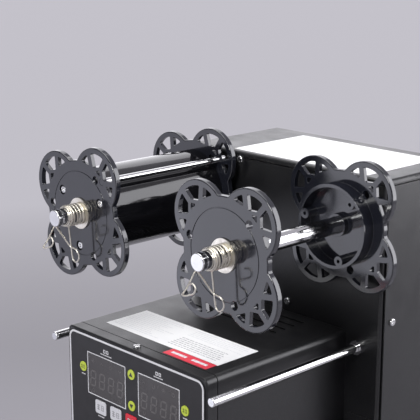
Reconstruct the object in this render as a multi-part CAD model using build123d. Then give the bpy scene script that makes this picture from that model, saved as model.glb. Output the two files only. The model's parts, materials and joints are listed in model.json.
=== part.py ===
"""Cup sealing machine: a cabinet with a cantilevered control head, two film reels and a sliding cup tray.

Millimetres. +X is the operator's right, +Y points to the back, +Z is up. The origin is the middle of
the bounding box at floor level. Each node has its own function, and nodes() at the end names them all.
"""
from build123d import *
import os
from math import cos, radians, sin

# ---- Overall sizes --------------------------------------------------------------------------------
DEPTH = 310.0              # base pan, front to back
CABINET_DEPTH = 120.0
CABINET_LEFT = -110.0      # outer faces of the side panels
CABINET_RIGHT = 130.5
HEAD_WIDTH = 182.0
HEAD_DEPTH = 170.0         # from the cabinet face to the head's front plane
HEAD_HEIGHT = 150.0
CABINET_RISE = 141.5       # lid above the head's top
FOOT_HEIGHT = 12.0
BASE_HEIGHT = 33.0
BAY_HEIGHT = 155.0         # base deck to the cup table
TABLE_HEIGHT = 28.0
FILM_GAP = 24.0            # table top to the head's bottom

# ---- Sheet metal ----------------------------------------------------------------------------------
SHEET = 1.2
PLATE_THICKNESS = 2.0      # inner plates
SEAM = 0.8                 # open line between neighbouring covers
FACE_RETURN = 16.0         # flanges folded back from the face and the rear panel
FACE_BEND = 3.0
LID_HEIGHT = 5.0
LID_ROUND = 4.0
BASE_LIP = 30.0
BASE_ROUND = 4.0
HEAD_ROUND = 5.0
CAP_LENGTH = 11.7          # front cap, front to back
CAP_EDGE = 1.5

# ---- Reels ----------------------------------------------------------------------------------------
REEL_X = 92.0
REEL_RISE = 99.6           # reel axis above the head's top
SHAFT_R = 7.5
SHAFT_OVERHANG = 11.2      # shaft tip in front of the head
GROOVE_SETBACK = 4.5       # retaining groove behind the tip
GROOVE_WIDTH = 1.6
BORE_PLAY = 0.1            # radial play of a flange on its shaft
LOBE_R = 29.4
LOBE_OFFSET = 39.3
WAIST_R = 47.5
WAIST_FILLET = 3.0
FLANGE_PLATE = 3.5
FLANGE_RIM = 5.0
RIM_WIDTH = 5.0
SPOKE_WIDTH = 4.9
SPOKE_ANGLE = 51.0
SPOKE_ORIGIN = 37.9        # where a lobe's outer spokes meet, from the shaft axis
FORK_ORIGIN = 54.2         # where its middle spoke forks inwards
FORK_ANGLE = 134.0
FORK_WIDTH = 3.0
WINDOW_DISC_R = 47.6
WINDOW_FILLET = 1.0
FRONT_FLANGE_SETBACK = 17.5    # from the head's front plane
REAR_FLANGE_SETBACK = 156.3
HUB_R = 37.0
HUB_WALL = 3.0
HUB_DEPTH = 12.4
COLLAR_R = 12.0            # round the shaft, behind the front flange and on the rear flange's back
COLLAR_LENGTH = 8.2
CUP_COLLAR_R = 10.0        # round the shaft, in the rear flange's cup
CUP_COLLAR_HEIGHT = 5.4
BOSS_R = 4.5
BOSS_CIRCLE_R = 30.5
FRONT_BOSS_ANGLE = -30.0   # first of three bosses, from a lobe
REAR_BOSS_ANGLE = 0.0
RECESS_R = 4.4             # round a screw head in the take-up front flange
RECESS_DEPTH = 2.0
RELIEF_CIRCLE_R = 38.0
EYELET_CIRCLE_R = 40.5
EYELET_R = 3.8
SUPPLY_FRONT_PHASE = 47.1      # direction of one lobe, degrees from +X towards +Z
SUPPLY_REAR_PHASE = 48.2
TAKE_UP_PHASE = 55.7
DRUM_R = 38.5
DRUM_PLAY = 0.2
CLAMP_BAR_R = 3.0
CLAMP_BAR_ORBIT = 46.0
CLAMP_BAR_ANGLE = 46.5
WASHER_R = 14.0
WASHER_THICKNESS = 1.5
SPRING_WIRE = 1.5
SPRING_COIL_R = SHAFT_R + 1.7
SPRING_TURNS = 5.0
CLIP_COIL_R = SHAFT_R + 0.9
CLIP_TURNS = 3.0
CLIP_REAR_TAIL = (0.0, 34.6, 4.5)      # lean to the front, drop below the coils, eye radius
CLIP_FRONT_TAIL = (11.0, 24.0, 3.6)
FLOAT_TRAVEL = 6.0                     # how far a front flange can be pulled against its spring
BEARING_R = 13.0
RUNNING_PLAY = 0.05

# ---- Guide rods -----------------------------------------------------------------------------------
GUIDE_RIGHT_X = HEAD_WIDTH / 2 + 14.0
GUIDE_LEFT_X = -HEAD_WIDTH / 2 - 10.0
GUIDE_DROP = 12.5          # guide axis below the head's top
GUIDE_R = 4.0
GUIDE_PIN_R = 2.0
GUIDE_OVERHANG = 8.8
GUIDE_CAP = 3.8
GUIDE_COLLAR_R = 6.5
LOWER_GUIDE_X = HEAD_WIDTH / 2 + 7.0
LOWER_GUIDE_LIFT = 6.0

# ---- Panel ----------------------------------------------------------------------------------------
OVERLAY_THICKNESS = 0.8
OVERLAY_MARGIN = 1.7
OVERLAY_CORNER = 9.0
DISPLAY_SIZE = (52.0, 38.6)
DISPLAY_CENTRES = ((-36.4, -37.5), (33.1, -37.5))      # across, below the head's top
ROUND_KEY_R = 4.5
ROUND_KEYS = {"key_up": (-2.0, -22.7), "key_down": (-2.0, -51.4), "key_set": (-68.9, -34.0),
              "key_clear": (66.2, -34.0)}
SQUARE_KEY = (15.0, 12.5)
SQUARE_KEY_PITCH = 21.0
SQUARE_KEY_ROW = -66.5
SQUARE_KEY_MIDDLE = -2.9
SQUARE_KEYS = ("key_manual", "key_auto", "key_stop", "key_film", "key_count")
KEY_PLAY = 0.25
KEY_PROUD = 0.6
KEY_TRAVEL = 0.5

# ---- Press ----------------------------------------------------------------------------------------
PRESS_STROKE = 20.0
PRESS_REST_GAP = 6.0       # heater above the head's bottom face
HEATER_R = 48.0
HEATER_HEIGHT = 14.0
KNIFE_INNER_R = 49.3
KNIFE_OUTER_R = 54.0
KNIFE_HEIGHT = 20.0
CARRIAGE_THICKNESS = 8.0
COLUMN_X = 72.0
COLUMN_R = 5.0
CAM_BASE_R = 16.0
CAM_WIDTH = 10.0
CAM_SWEEP = 150.0          # degrees for the full stroke
CAM_SHAFT_R = 6.0
FOLLOWER_R = 9.0
FOLLOWER_PIN_R = 3.0
EAR_THICKNESS = 4.0        # carriage ears that hold the follower's pin
EAR_HALF_WIDTH = 8.0
BUSH_WALL = 4.0            # carriage bushes on the columns
BUSH_RISE = 6.0
FOLLOWER_PLAY = 0.7
RETURN_SPRING_X = 54.0
MOTOR_LENGTH = 46.0
GEARBOX_R = 15.5
MOTOR_R = 13.5
OUTPUT_DEPTH = 14.0        # blind hollow output of a gear motor
OUTPUT_REACH = 12.0        # how far a shaft reaches into it
SHAFT_PLAY = 0.1

# ---- Tray -----------------------------------------------------------------------------------------
CUP_R = 45.0               # bore of the mould ring
CUP_RING_DEPTH = 15.0
TRAY_HALF_WIDTH = 86.0
TRAY_THICKNESS = 4.7
TRAY_OVERLAP = 27.0        # tray's rear edge behind the cabinet face
TRAY_PLAY = 0.3
TRAY_CORNER = 4.0
GRIP = (76.0, 7.0, 4.0)    # width, reach and drop of the lip at the tray's front
NUT_SIZE = (16.0, 16.0, 14.0)
NUT_NECK = 3.0
ARM_INNER_X = 52.0
ARM_OUTER_X = 100.0
TABLE_WALL = 2.0
SCREW_X = 78.0
SCREW_R = 4.0
SCREW_DROP = 16.0          # lead screw below the table top

# ---- Fasteners and feet ---------------------------------------------------------------------------
SCREW_HEAD_R = 3.4
SCREW_HEAD_HEIGHT = 2.0
SCREW_SHANK_R = 1.5
SCREW_SHANK = 5.0
HOLE_PLAY = 0.1
FOOT_R = 12.0
FOOT_INSET = 16.0
FOOT_SEAT = 3.5            # rubber between the screw's head and the base

# ---- Sensor and electrics ---------------------------------------------------------------------------
SENSOR_LEFT = HEAD_WIDTH / 2 + 2.0     # bracket's edge nearest the head
SENSOR_PLATE = (31.0, 56.0)            # width, height
SENSOR_SHEET = 1.5
SENSOR_CORNER = 5.0
SENSOR_DROP = 76.0         # bracket's top below the head's top
SENSOR_REACH = 45.0        # arm's end in front of the cabinet face
SENSOR_ARM = (26.0, 50.0)  # arm's top and bottom below the bracket's top
EYE_SIZE = (11.0, 20.0, 20.0)
EYE_LENS_R = 3.0
SUPPLY_CAN = (100.0, 42.0) # width, height
SUPPLY_CAN_LEFT = -90.0
SUPPLY_CAN_GAP = 30.0      # to the cabinet's face and back
ENTRY_X = 80.0
ENTRY_RISE = 55.0          # mains entry above the base deck
ENTRY_CUT = (30.0, 46.0)
ENTRY_FLANGE = 2.5
SOCKET = (24.0, 16.5, 16.0)            # width, height, depth
SOCKET_DROP = 10.0
ROCKER_RISE = 12.5
ROCKER_WELL = (22.0, 14.0, 14.0)
ROCKER_TILT = 10.0
ROCKER_PIVOT_DEPTH = 5.0
ROCKER_PIVOT_R = 1.5

# ---- Levels and planes that follow ------------------------------------------------------------------
Y_BACK = DEPTH / 2
Y_FRONT = -DEPTH / 2
Y_FACE = Y_BACK - CABINET_DEPTH
Y_HEAD = Y_FACE - HEAD_DEPTH
Y_CAP = Y_HEAD + CAP_LENGTH
Z_DECK = FOOT_HEIGHT + BASE_HEIGHT
Z_TABLE_BOTTOM = Z_DECK + BAY_HEIGHT
Z_TABLE = Z_TABLE_BOTTOM + TABLE_HEIGHT
Z_TRAY = Z_TABLE + TRAY_PLAY
Z_TRAY_TOP = Z_TRAY + TRAY_THICKNESS
Z_HEAD_BOTTOM = Z_TABLE + FILM_GAP
Z_HEAD = Z_HEAD_BOTTOM + HEAD_HEIGHT
Z_LID = Z_HEAD + CABINET_RISE
Z_LID_BOTTOM = Z_LID - LID_HEIGHT
Z_FACE_TOP = Z_LID_BOTTOM - SEAM
Z_REEL = Z_HEAD + REEL_RISE
Z_GUIDE = Z_HEAD - GUIDE_DROP
Z_LOWER_GUIDE = Z_HEAD_BOTTOM + LOWER_GUIDE_LIFT
FACE_LEFT = CABINET_LEFT + SHEET + SEAM
FACE_RIGHT = CABINET_RIGHT - SHEET - SEAM
HALF_HEAD = HEAD_WIDTH / 2
Y_FRONT_FLANGE = Y_HEAD + FRONT_FLANGE_SETBACK
Y_REAR_FLANGE = Y_HEAD + REAR_FLANGE_SETBACK
Y_SHAFT_TIP = Y_HEAD - SHAFT_OVERHANG
Y_FILM = (Y_FRONT_FLANGE + FLANGE_PLATE + Y_REAR_FLANGE) / 2       # middle of the film and of the press
Y_MOTOR = Y_FACE + 27.0
TRAY_BACK = Y_FACE + TRAY_OVERLAP
Y_BEARING_PLATE = Y_MOTOR + MOTOR_LENGTH
Z_HEATER = Z_HEAD_BOTTOM + PRESS_REST_GAP
Z_CARRIAGE = Z_HEATER + HEATER_HEIGHT + 4.0
Z_FOLLOWER = Z_CARRIAGE + CARRIAGE_THICKNESS + 16.0
Z_CAM = Z_FOLLOWER + FOLLOWER_R + CAM_BASE_R + FOLLOWER_PLAY
Z_BRACKET = Z_CARRIAGE + CARRIAGE_THICKNESS + 28.0
Y_CHEEK_FRONT = Y_FILM - 20.0
Y_CHEEK_BACK = Y_FILM + 24.0
Y_TABLE = Y_FRONT + 30.0
Z_SCREW = Z_TABLE - SCREW_DROP
Z_SENSOR = Z_HEAD - SENSOR_DROP
Z_ENTRY = Z_DECK + ENTRY_RISE
Z_ROCKER = Z_ENTRY + ROCKER_RISE
Y_ENTRY = Y_BACK + ENTRY_FLANGE


# ---- Helpers --------------------------------------------------------------------------------------
def block(x, y, z):
    """Box between the low and high value of each axis."""
    size = [span[1] - span[0] for span in (x, y, z)]
    middle = [(span[0] + span[1]) / 2 for span in (x, y, z)]
    return Pos(*middle) * Box(*size)


def rod(axis, at, radius, span):
    """Cylinder along an axis, at the other two coordinates, from one end of span to the other."""
    length = span[1] - span[0]
    middle = (span[0] + span[1]) / 2
    if axis == "x":
        return Pos(middle, at[0], at[1]) * Rot(0, 90, 0) * Cylinder(radius, length)
    if axis == "y":
        return Pos(at[0], middle, at[1]) * Rot(90, 0, 0) * Cylinder(radius, length)
    return Pos(at[0], at[1], middle) * Cylinder(radius, length)


def pipe(axis, at, outer, inner, span):
    return rod(axis, at, outer, span) - rod(axis, at, inner, span)


def facing_front(x, y, z, turn=0.0):
    """Places a local shape so that its +Z points to the operator and its +Y points up."""
    return Location(Plane(origin=(x, y, z), x_dir=(1, 0, 0), z_dir=(0, -1, 0))) * Rot(0, 0, turn)


def rounded(solid, axis, radius, keep=lambda edge: True):
    """Rounds the solid's edges that run along an axis."""
    edges = [edge for edge in solid.edges().filter_by(axis) if keep(edge)]
    return fillet(edges, radius)


def polar(radius, angle):
    return radius * cos(radians(angle)), radius * sin(radians(angle))


def screw(place):
    """Pan-head screw whose head sits on the local XY plane and whose shank points down."""
    head = Pos(0, 0, SCREW_HEAD_HEIGHT / 2) * Cylinder(SCREW_HEAD_R, SCREW_HEAD_HEIGHT)
    head = fillet(head.edges().sort_by(Axis.Z)[-1], SCREW_HEAD_HEIGHT / 2)
    head -= Pos(0, 0, SCREW_HEAD_HEIGHT) * Box(0.6 * SCREW_HEAD_R * 2, 0.7, 1.4)
    head -= Pos(0, 0, SCREW_HEAD_HEIGHT) * Box(0.7, 0.6 * SCREW_HEAD_R * 2, 1.4)
    return place * (head + Pos(0, 0, -SCREW_SHANK / 2) * Cylinder(SCREW_SHANK_R, SCREW_SHANK))


def screw_hole(place):
    return place * Cylinder(SCREW_SHANK_R + HOLE_PLAY, 2 * SCREW_SHANK)


def on_plane(origin, normal, across):
    return Location(Plane(origin=origin, x_dir=across, z_dir=normal))


# ---- Fastener places --------------------------------------------------------------------------------
def face_screws():
    low = Z_HEAD + 9.5
    high = Z_HEAD + 134.0
    return [on_plane((x, Y_FACE, z), (0, -1, 0), (1, 0, 0)) for x, z in ((20.0, low), (-43.0, high))]


def side_screws(x, normal):
    front = Y_FACE + 13.5
    back = Y_BACK - 13.5
    return [on_plane((x, y, z), (normal, 0, 0), (0, 1, 0))
            for y in (front, back) for z in (Z_DECK + 25.0, Z_HEAD + 14.0)]


def back_screws():
    return [on_plane((x, Y_BACK, z), (0, 1, 0), (-1, 0, 0))
            for x in (FACE_LEFT + 8.0, FACE_RIGHT - 8.0) for z in (Z_DECK + 20.0, Z_FACE_TOP - 20.0)]


def cap_screws():
    return [on_plane((-2.8, Y_HEAD + 6.6, Z_HEAD), (0, 0, 1), (1, 0, 0))]


def panel_screws():
    return side_screws(CABINET_LEFT, -1) + side_screws(CABINET_RIGHT, 1)


def foot_places():
    return [(x, y) for x in (CABINET_LEFT + FOOT_INSET, CABINET_RIGHT - FOOT_INSET)
            for y in (Y_FRONT + FOOT_INSET, Y_BACK - FOOT_INSET)]


# ---- Base and cabinet -------------------------------------------------------------------------------
def base_pan():
    outer = block((CABINET_LEFT, CABINET_RIGHT), (Y_FRONT, Y_BACK), (FOOT_HEIGHT, Z_DECK))
    outer = rounded(outer, Axis.Z, BASE_ROUND)
    outer = fillet(outer.faces().sort_by(Axis.Z)[-1].edges(), BASE_ROUND / 2)
    inner = block((CABINET_LEFT + SHEET, CABINET_RIGHT - SHEET), (Y_FRONT + SHEET, Y_BACK - SHEET),
                  (FOOT_HEIGHT + SHEET, Z_DECK - SHEET))
    inner = rounded(inner, Axis.Z, BASE_ROUND - SHEET)
    opening = block((CABINET_LEFT + BASE_LIP, CABINET_RIGHT - BASE_LIP),
                    (Y_FRONT + BASE_LIP, Y_BACK - BASE_LIP), (FOOT_HEIGHT, FOOT_HEIGHT + 2 * SHEET))
    pan = outer - inner - opening
    for x, y in foot_places():
        pan -= rod("z", (x, y), SCREW_SHANK_R + HOLE_PLAY, (FOOT_HEIGHT, FOOT_HEIGHT + SHEET))
    return pan


def rubber_feet():
    feet = []
    for x, y in foot_places():
        foot = Pos(x, y, FOOT_HEIGHT / 2) * Cone(FOOT_R - 2.0, FOOT_R, FOOT_HEIGHT)
        foot -= rod("z", (x, y), SCREW_HEAD_R + HOLE_PLAY, (0, FOOT_HEIGHT - FOOT_SEAT))
        foot -= rod("z", (x, y), SCREW_SHANK_R + HOLE_PLAY, (FOOT_HEIGHT - FOOT_SEAT, FOOT_HEIGHT))
        feet.append(foot)
    return feet


def folded_panel(y_outer, y_inner):
    """Upright panel with both side edges folded towards y_inner."""
    low, high = sorted((y_outer, y_inner))
    inwards = 1 if y_inner > y_outer else -1
    outer = block((FACE_LEFT, FACE_RIGHT), (low, high), (Z_DECK, Z_FACE_TOP))
    outer = rounded(outer, Axis.Z, FACE_BEND, lambda edge: abs(edge.center().Y - y_outer) < SHEET)
    cavity_span = sorted((y_outer + inwards * SHEET, y_inner))
    cavity = block((FACE_LEFT + SHEET, FACE_RIGHT - SHEET), cavity_span, (Z_DECK, Z_FACE_TOP))
    cavity = rounded(cavity, Axis.Z, FACE_BEND - SHEET,
                     lambda edge: abs(edge.center().Y - y_outer) < 2 * SHEET)
    return outer - cavity


def cabinet_face():
    panel = folded_panel(Y_FACE, Y_FACE + FACE_RETURN)
    through = (Y_FACE, Y_FACE + SHEET)
    for x in (-REEL_X, REEL_X):
        panel -= rod("y", (x, Z_REEL), BEARING_R + HOLE_PLAY, through)
    for x, z in guide_places():
        panel -= rod("y", (x, z), GUIDE_PIN_R + HOLE_PLAY, through)
    panel -= block((-TRAY_HALF_WIDTH - 10, TRAY_HALF_WIDTH + 10), through, (Z_TABLE, Z_TRAY_TOP + 4.5))
    panel -= block((SCREW_X - 10, SCREW_X + 10), through, (Z_SCREW - 9, Z_TABLE))
    panel -= block((-HALF_HEAD + 20, HALF_HEAD - 20), through, (Z_HEAD_BOTTOM + 20, Z_HEAD - 20))
    for place in face_screws() + panel_screws():
        panel -= screw_hole(place)
    return panel


def cabinet_back():
    panel = folded_panel(Y_BACK, Y_BACK - FACE_RETURN)
    through = (Y_BACK - SHEET, Y_BACK)
    half_x, half_z = ENTRY_CUT[0] / 2, ENTRY_CUT[1] / 2
    panel -= block((ENTRY_X - half_x, ENTRY_X + half_x), through, (Z_ENTRY - half_z, Z_ENTRY + half_z))
    for row in range(6):
        slot = block((-40.0, 60.0), through, (0, 3.0))
        panel -= Pos(0, 0, Z_HEAD - 30.0 + 12.0 * row) * slot
    for place in back_screws() + panel_screws():
        panel -= screw_hole(place)
    return panel


def side_panel(x, normal):
    """Flat cover whose edges stop short of the face, the back, the base and the lid."""
    span_x = sorted((x, x - normal * SHEET))
    panel = block(span_x, (Y_FACE + FACE_BEND + SEAM, Y_BACK - FACE_BEND - SEAM), (Z_DECK, Z_FACE_TOP))
    panel = rounded(panel, Axis.X, 2.0)
    for place in side_screws(x, normal):
        panel -= screw_hole(place)
    return panel


def cabinet_lid():
    outer = block((CABINET_LEFT, CABINET_RIGHT), (Y_FACE, Y_BACK), (Z_LID_BOTTOM, Z_LID))
    outer = rounded(outer, Axis.Z, LID_ROUND)
    outer = fillet(outer.faces().sort_by(Axis.Z)[-1].edges(), LID_ROUND * 0.9)
    cavity = block((CABINET_LEFT + SHEET, CABINET_RIGHT - SHEET), (Y_FACE + SHEET, Y_BACK - SHEET),
                   (Z_LID_BOTTOM, Z_LID - SHEET))
    cavity = rounded(cavity, Axis.Z, LID_ROUND - SHEET)
    cavity = fillet(cavity.faces().sort_by(Axis.Z)[-1].edges(), LID_ROUND * 0.6)
    lid = outer - cavity
    drop = (Z_FACE_TOP - 12.0, Z_LID - 2 * SHEET)
    for x in (FACE_LEFT + SHEET, FACE_RIGHT - 2 * SHEET):
        tab = block((x, x + SHEET), (Y_FACE + 40, Y_BACK - 40), drop)
        foot_x = sorted((x, x + SHEET + (3.0 if x > 0 else 0)))
        lid += tab + block(foot_x, (Y_FACE + 40, Y_BACK - 40), (Z_LID - 3 * SHEET, Z_LID - SHEET))
    return lid


def bearing_plate():
    left = CABINET_LEFT + SHEET
    right = CABINET_RIGHT - SHEET
    z = (Z_TABLE_BOTTOM - 10.0, Z_FACE_TOP - 14.0)
    plate = block((left, right), (Y_BEARING_PLATE, Y_BEARING_PLATE + PLATE_THICKNESS), z)
    for x in (left, right - PLATE_THICKNESS):
        plate += block((x, x + PLATE_THICKNESS), (Y_BEARING_PLATE, Y_BEARING_PLATE + 14.0), z)
    plate -= rod("y", (REEL_X, Z_REEL), BEARING_R + HOLE_PLAY,
                 (Y_BEARING_PLATE, Y_BEARING_PLATE + PLATE_THICKNESS))
    plate -= rod("y", (-REEL_X, Z_REEL), 6.0, (Y_BEARING_PLATE, Y_BEARING_PLATE + PLATE_THICKNESS))
    return plate


# ---- Control head -----------------------------------------------------------------------------------
def head_shell():
    outer = block((-HALF_HEAD, HALF_HEAD), (Y_CAP + SEAM, Y_FACE), (Z_HEAD_BOTTOM, Z_HEAD))
    outer = rounded(outer, Axis.Y, HEAD_ROUND, lambda edge: edge.center().Z > Z_HEAD - 1)
    cavity = block((-HALF_HEAD + SHEET, HALF_HEAD - SHEET), (Y_CAP + SEAM, Y_FACE),
                   (Z_HEAD_BOTTOM, Z_HEAD - SHEET))
    cavity = rounded(cavity, Axis.Y, HEAD_ROUND - SHEET, lambda edge: edge.center().Z > Z_HEAD - 5)
    shell = outer - cavity
    for row in range(4):
        slot = block((-54.0, 53.7), (-1.5, 1.5), (Z_HEAD - 2 * SHEET, Z_HEAD))
        slot = fillet(slot.edges().filter_by(Axis.Z), 1.4)
        shell -= Pos(0, Y_HEAD + 118.7 + 12.15 * row, 0) * slot
    return shell


def head_front_cap():
    outer = block((-HALF_HEAD, HALF_HEAD), (Y_HEAD, Y_CAP), (Z_HEAD_BOTTOM, Z_HEAD))
    outer = rounded(outer, Axis.Y, HEAD_ROUND, lambda edge: edge.center().Z > Z_HEAD - 1)
    outer = fillet(outer.faces().sort_by(Axis.Y)[0].edges(), CAP_EDGE)
    cavity = block((-HALF_HEAD + SHEET, HALF_HEAD - SHEET), (Y_HEAD + SHEET, Y_CAP),
                   (Z_HEAD_BOTTOM + SHEET, Z_HEAD - SHEET))
    cavity = rounded(cavity, Axis.Y, HEAD_ROUND - SHEET, lambda edge: edge.center().Z > Z_HEAD - 5)
    cap = outer - cavity
    wall = (Y_HEAD, Y_HEAD + SHEET)
    for x, z in DISPLAY_CENTRES:
        half_x, half_z = DISPLAY_SIZE[0] / 2, DISPLAY_SIZE[1] / 2
        cap -= block((x - half_x, x + half_x), wall, (Z_HEAD + z - half_z, Z_HEAD + z + half_z))
    for name in key_names():
        cap -= key_prism(name, KEY_PLAY, wall)
    for place in cap_screws():
        cap -= screw_hole(place)
    return cap


def head_bottom_plate():
    plate = block((-HALF_HEAD + SHEET, HALF_HEAD - SHEET), (Y_CAP + SEAM, Y_FACE),
                  (Z_HEAD_BOTTOM, Z_HEAD_BOTTOM + SHEET))
    return plate - rod("z", (0, Y_FILM), KNIFE_OUTER_R + 3.0, (Z_HEAD_BOTTOM, Z_HEAD_BOTTOM + SHEET))


def key_names():
    return list(ROUND_KEYS) + list(SQUARE_KEYS)


def key_prism(name, margin, y):
    """The key's outline, grown by a margin, between two Y planes."""
    if name in ROUND_KEYS:
        x, z = ROUND_KEYS[name]
        return rod("y", (x, Z_HEAD + z), ROUND_KEY_R + margin, y)
    x = SQUARE_KEY_MIDDLE + SQUARE_KEY_PITCH * (SQUARE_KEYS.index(name) - 2)
    half_x = SQUARE_KEY[0] / 2 + margin
    half_z = SQUARE_KEY[1] / 2 + margin
    z = Z_HEAD + SQUARE_KEY_ROW
    return fillet(block((x - half_x, x + half_x), y, (z - half_z, z + half_z)).edges().filter_by(Axis.Y),
                  2.0 + margin)


def panel_overlay():
    half = HALF_HEAD - OVERLAY_MARGIN
    sheet = block((-half, half), (Y_HEAD - OVERLAY_THICKNESS, Y_HEAD),
                  (Z_HEAD_BOTTOM + OVERLAY_MARGIN, Z_HEAD - OVERLAY_MARGIN))
    sheet = rounded(sheet, Axis.Y, OVERLAY_CORNER)
    for name in key_names():
        sheet -= key_prism(name, KEY_PLAY, (Y_HEAD - OVERLAY_THICKNESS, Y_HEAD))
    return sheet


def panel_key(name):
    front = Y_HEAD - OVERLAY_THICKNESS - KEY_PROUD
    body = key_prism(name, 0, (front, Y_HEAD + SHEET + 0.1))
    body = fillet(body.faces().sort_by(Axis.Y)[0].edges(), 0.3)
    skirt = key_prism(name, 3 * KEY_PLAY, (Y_HEAD + SHEET + 0.1, Y_HEAD + SHEET + 1.1))
    return body + skirt


def control_board():
    """Board with its displays, tact switches, standoffs and relays."""
    front = Y_HEAD + SHEET + 6.0
    parts = []
    board = block((-80.0, 80.0), (front, front + 1.6), (Z_HEAD - 78.0, Z_HEAD - 8.0))
    for x, z in DISPLAY_CENTRES:
        half_x, half_z = DISPLAY_SIZE[0] / 2 - 1.0, DISPLAY_SIZE[1] / 2 - 1.0
        parts.append(block((x - half_x, x + half_x), (Y_HEAD, front),
                           (Z_HEAD + z - half_z, Z_HEAD + z + half_z)))
    for name in key_names():
        centre = key_prism(name, 0, (0, 1)).center()
        parts.append(rod("y", (centre.X, centre.Z), 2.5, (Y_HEAD + SHEET + 1.1 + KEY_TRAVEL + 0.2, front)))
    for x in (-76.0, 76.0):
        for z in (-12.0, -74.0):
            parts.append(rod("y", (x, Z_HEAD + z), 2.5, (Y_HEAD + SHEET, front)))
    parts.append(board)
    return parts


# ---- Press --------------------------------------------------------------------------------------------
def press_bracket():
    y = (Y_FILM - 50.0, Y_CHEEK_BACK)
    wall = 3.0
    inner = HALF_HEAD - SHEET
    top = block((-inner, inner), y, (Z_BRACKET, Z_BRACKET + wall))
    top -= block((-42.0, 42.0), (Y_FILM - 12.0, Y_FILM + 12.0), (Z_BRACKET, Z_BRACKET + wall))
    for side in (-1, 1):
        x = sorted((side * inner, side * (inner - wall)))
        top += block(x, y, (Z_BRACKET - 16.0, Z_BRACKET))
    for y_cheek in (Y_CHEEK_FRONT, Y_CHEEK_BACK - wall):
        top += block((-26.0, 26.0), (y_cheek, y_cheek + wall), (Z_BRACKET + wall, Z_CAM + 24.0))
    return top - rod("y", (0, Z_CAM), CAM_SHAFT_R + RUNNING_PLAY, (Y_CHEEK_FRONT, Y_CHEEK_BACK))


def guide_columns():
    return [rod("z", (side * COLUMN_X, Y_FILM), COLUMN_R, (Z_HEAD_BOTTOM + SHEET, Z_BRACKET))
            for side in (-1, 1)]


def press_carriage():
    plate = block((-COLUMN_X - 12, COLUMN_X + 12), (Y_FILM - 40.0, Y_FILM + 40.0),
                  (Z_CARRIAGE, Z_CARRIAGE + CARRIAGE_THICKNESS))
    plate = rounded(plate, Axis.Z, 8.0)
    bush_span = (Z_CARRIAGE, Z_CARRIAGE + CARRIAGE_THICKNESS + BUSH_RISE)
    for side in (-1, 1):
        at = (side * COLUMN_X, Y_FILM)
        plate += rod("z", at, COLUMN_R + BUSH_WALL, bush_span)
        plate -= rod("z", at, COLUMN_R + RUNNING_PLAY, bush_span)
    ear_gap = CAM_WIDTH / 2 + 1.0
    for side in (-1, 1):
        y = sorted((Y_FILM + side * ear_gap, Y_FILM + side * (ear_gap + EAR_THICKNESS)))
        plate += block((-EAR_HALF_WIDTH, EAR_HALF_WIDTH), y,
                       (Z_CARRIAGE + CARRIAGE_THICKNESS, Z_FOLLOWER + FOLLOWER_PIN_R))
    return plate + rod("y", (0, Z_FOLLOWER), FOLLOWER_PIN_R, (Y_FILM - ear_gap, Y_FILM + ear_gap))


def cam_follower():
    half = CAM_WIDTH / 2 + 0.5
    return pipe("y", (0, Z_FOLLOWER), FOLLOWER_R, FOLLOWER_PIN_R + RUNNING_PLAY,
                (Y_FILM - half, Y_FILM + half))


def heater_block():
    disc = rod("z", (0, Y_FILM), HEATER_R, (Z_HEATER, Z_HEATER + HEATER_HEIGHT))
    disc -= rod("z", (0, Y_FILM), HEATER_R - 12.0, (Z_HEATER, Z_HEATER + 3.0))
    neck = rod("z", (0, Y_FILM), 20.0, (Z_HEATER + HEATER_HEIGHT, Z_CARRIAGE))
    return disc + neck


def cutter_ring():
    low = Z_CARRIAGE - KNIFE_HEIGHT
    ring = pipe("z", (0, Y_FILM), KNIFE_OUTER_R, KNIFE_INNER_R, (low, Z_CARRIAGE))
    edge = [e for e in ring.edges() if abs(e.center().Z - low) < 0.1 and e.radius > KNIFE_INNER_R + 1]
    return chamfer(edge, 3.0)


def return_springs():
    """Extension springs between the bracket and the carriage that lift the press."""
    wire_diameter = 1.2
    low = Z_CARRIAGE + CARRIAGE_THICKNESS + wire_diameter / 2
    high = Z_BRACKET - wire_diameter / 2
    turns = 9.0
    wire = coil(4.0, wire_diameter, (high - low) / turns, turns)
    return [Pos(side * RETURN_SPRING_X, Y_FILM, low) * wire for side in (-1, 1)]


def press_cam():
    """Cam whose radius grows evenly with the turn, on its shaft."""
    rise = PRESS_STROKE / radians(CAM_SWEEP)
    steps = 12
    start = -90.0
    points = []
    for step in range(steps + 1):
        angle = CAM_SWEEP * step / steps
        points.append(polar(CAM_BASE_R + rise * radians(angle), start + angle))
    nose = points[-1]
    flank = polar(CAM_BASE_R, start + CAM_SWEEP + 75.0)
    spiral = Spline(points)
    lead = Line(nose, flank)
    back = ThreePointArc(flank, polar(CAM_BASE_R, (start + CAM_SWEEP + 75.0 + start + 360.0) / 2),
                         polar(CAM_BASE_R, start))
    face = make_face([spiral, lead, back])
    body = extrude(face, amount=CAM_WIDTH)
    body = facing_front(0, Y_FILM + CAM_WIDTH / 2, Z_CAM) * body
    return body + rod("y", (0, Z_CAM), CAM_SHAFT_R, (Y_CHEEK_FRONT - 4.0, Y_CHEEK_BACK + OUTPUT_REACH))


def gear_motor(place):
    """Gear motor with a blind hollow output in the local +Z face of its gearbox."""
    gearbox_length = 0.48 * MOTOR_LENGTH
    gearbox = Pos(0, 0, -gearbox_length / 2) * Cylinder(GEARBOX_R, gearbox_length)
    can_length = MOTOR_LENGTH - gearbox_length
    can = Pos(0, 0, -gearbox_length - can_length / 2) * Cylinder(MOTOR_R, can_length)
    body = fillet((gearbox + can).edges().sort_by(Axis.Z)[-1], 1.0)
    output = Pos(0, 0, -OUTPUT_DEPTH / 2) * Cylinder(CAM_SHAFT_R + SHAFT_PLAY, OUTPUT_DEPTH)
    return place * (body - output)


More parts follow.
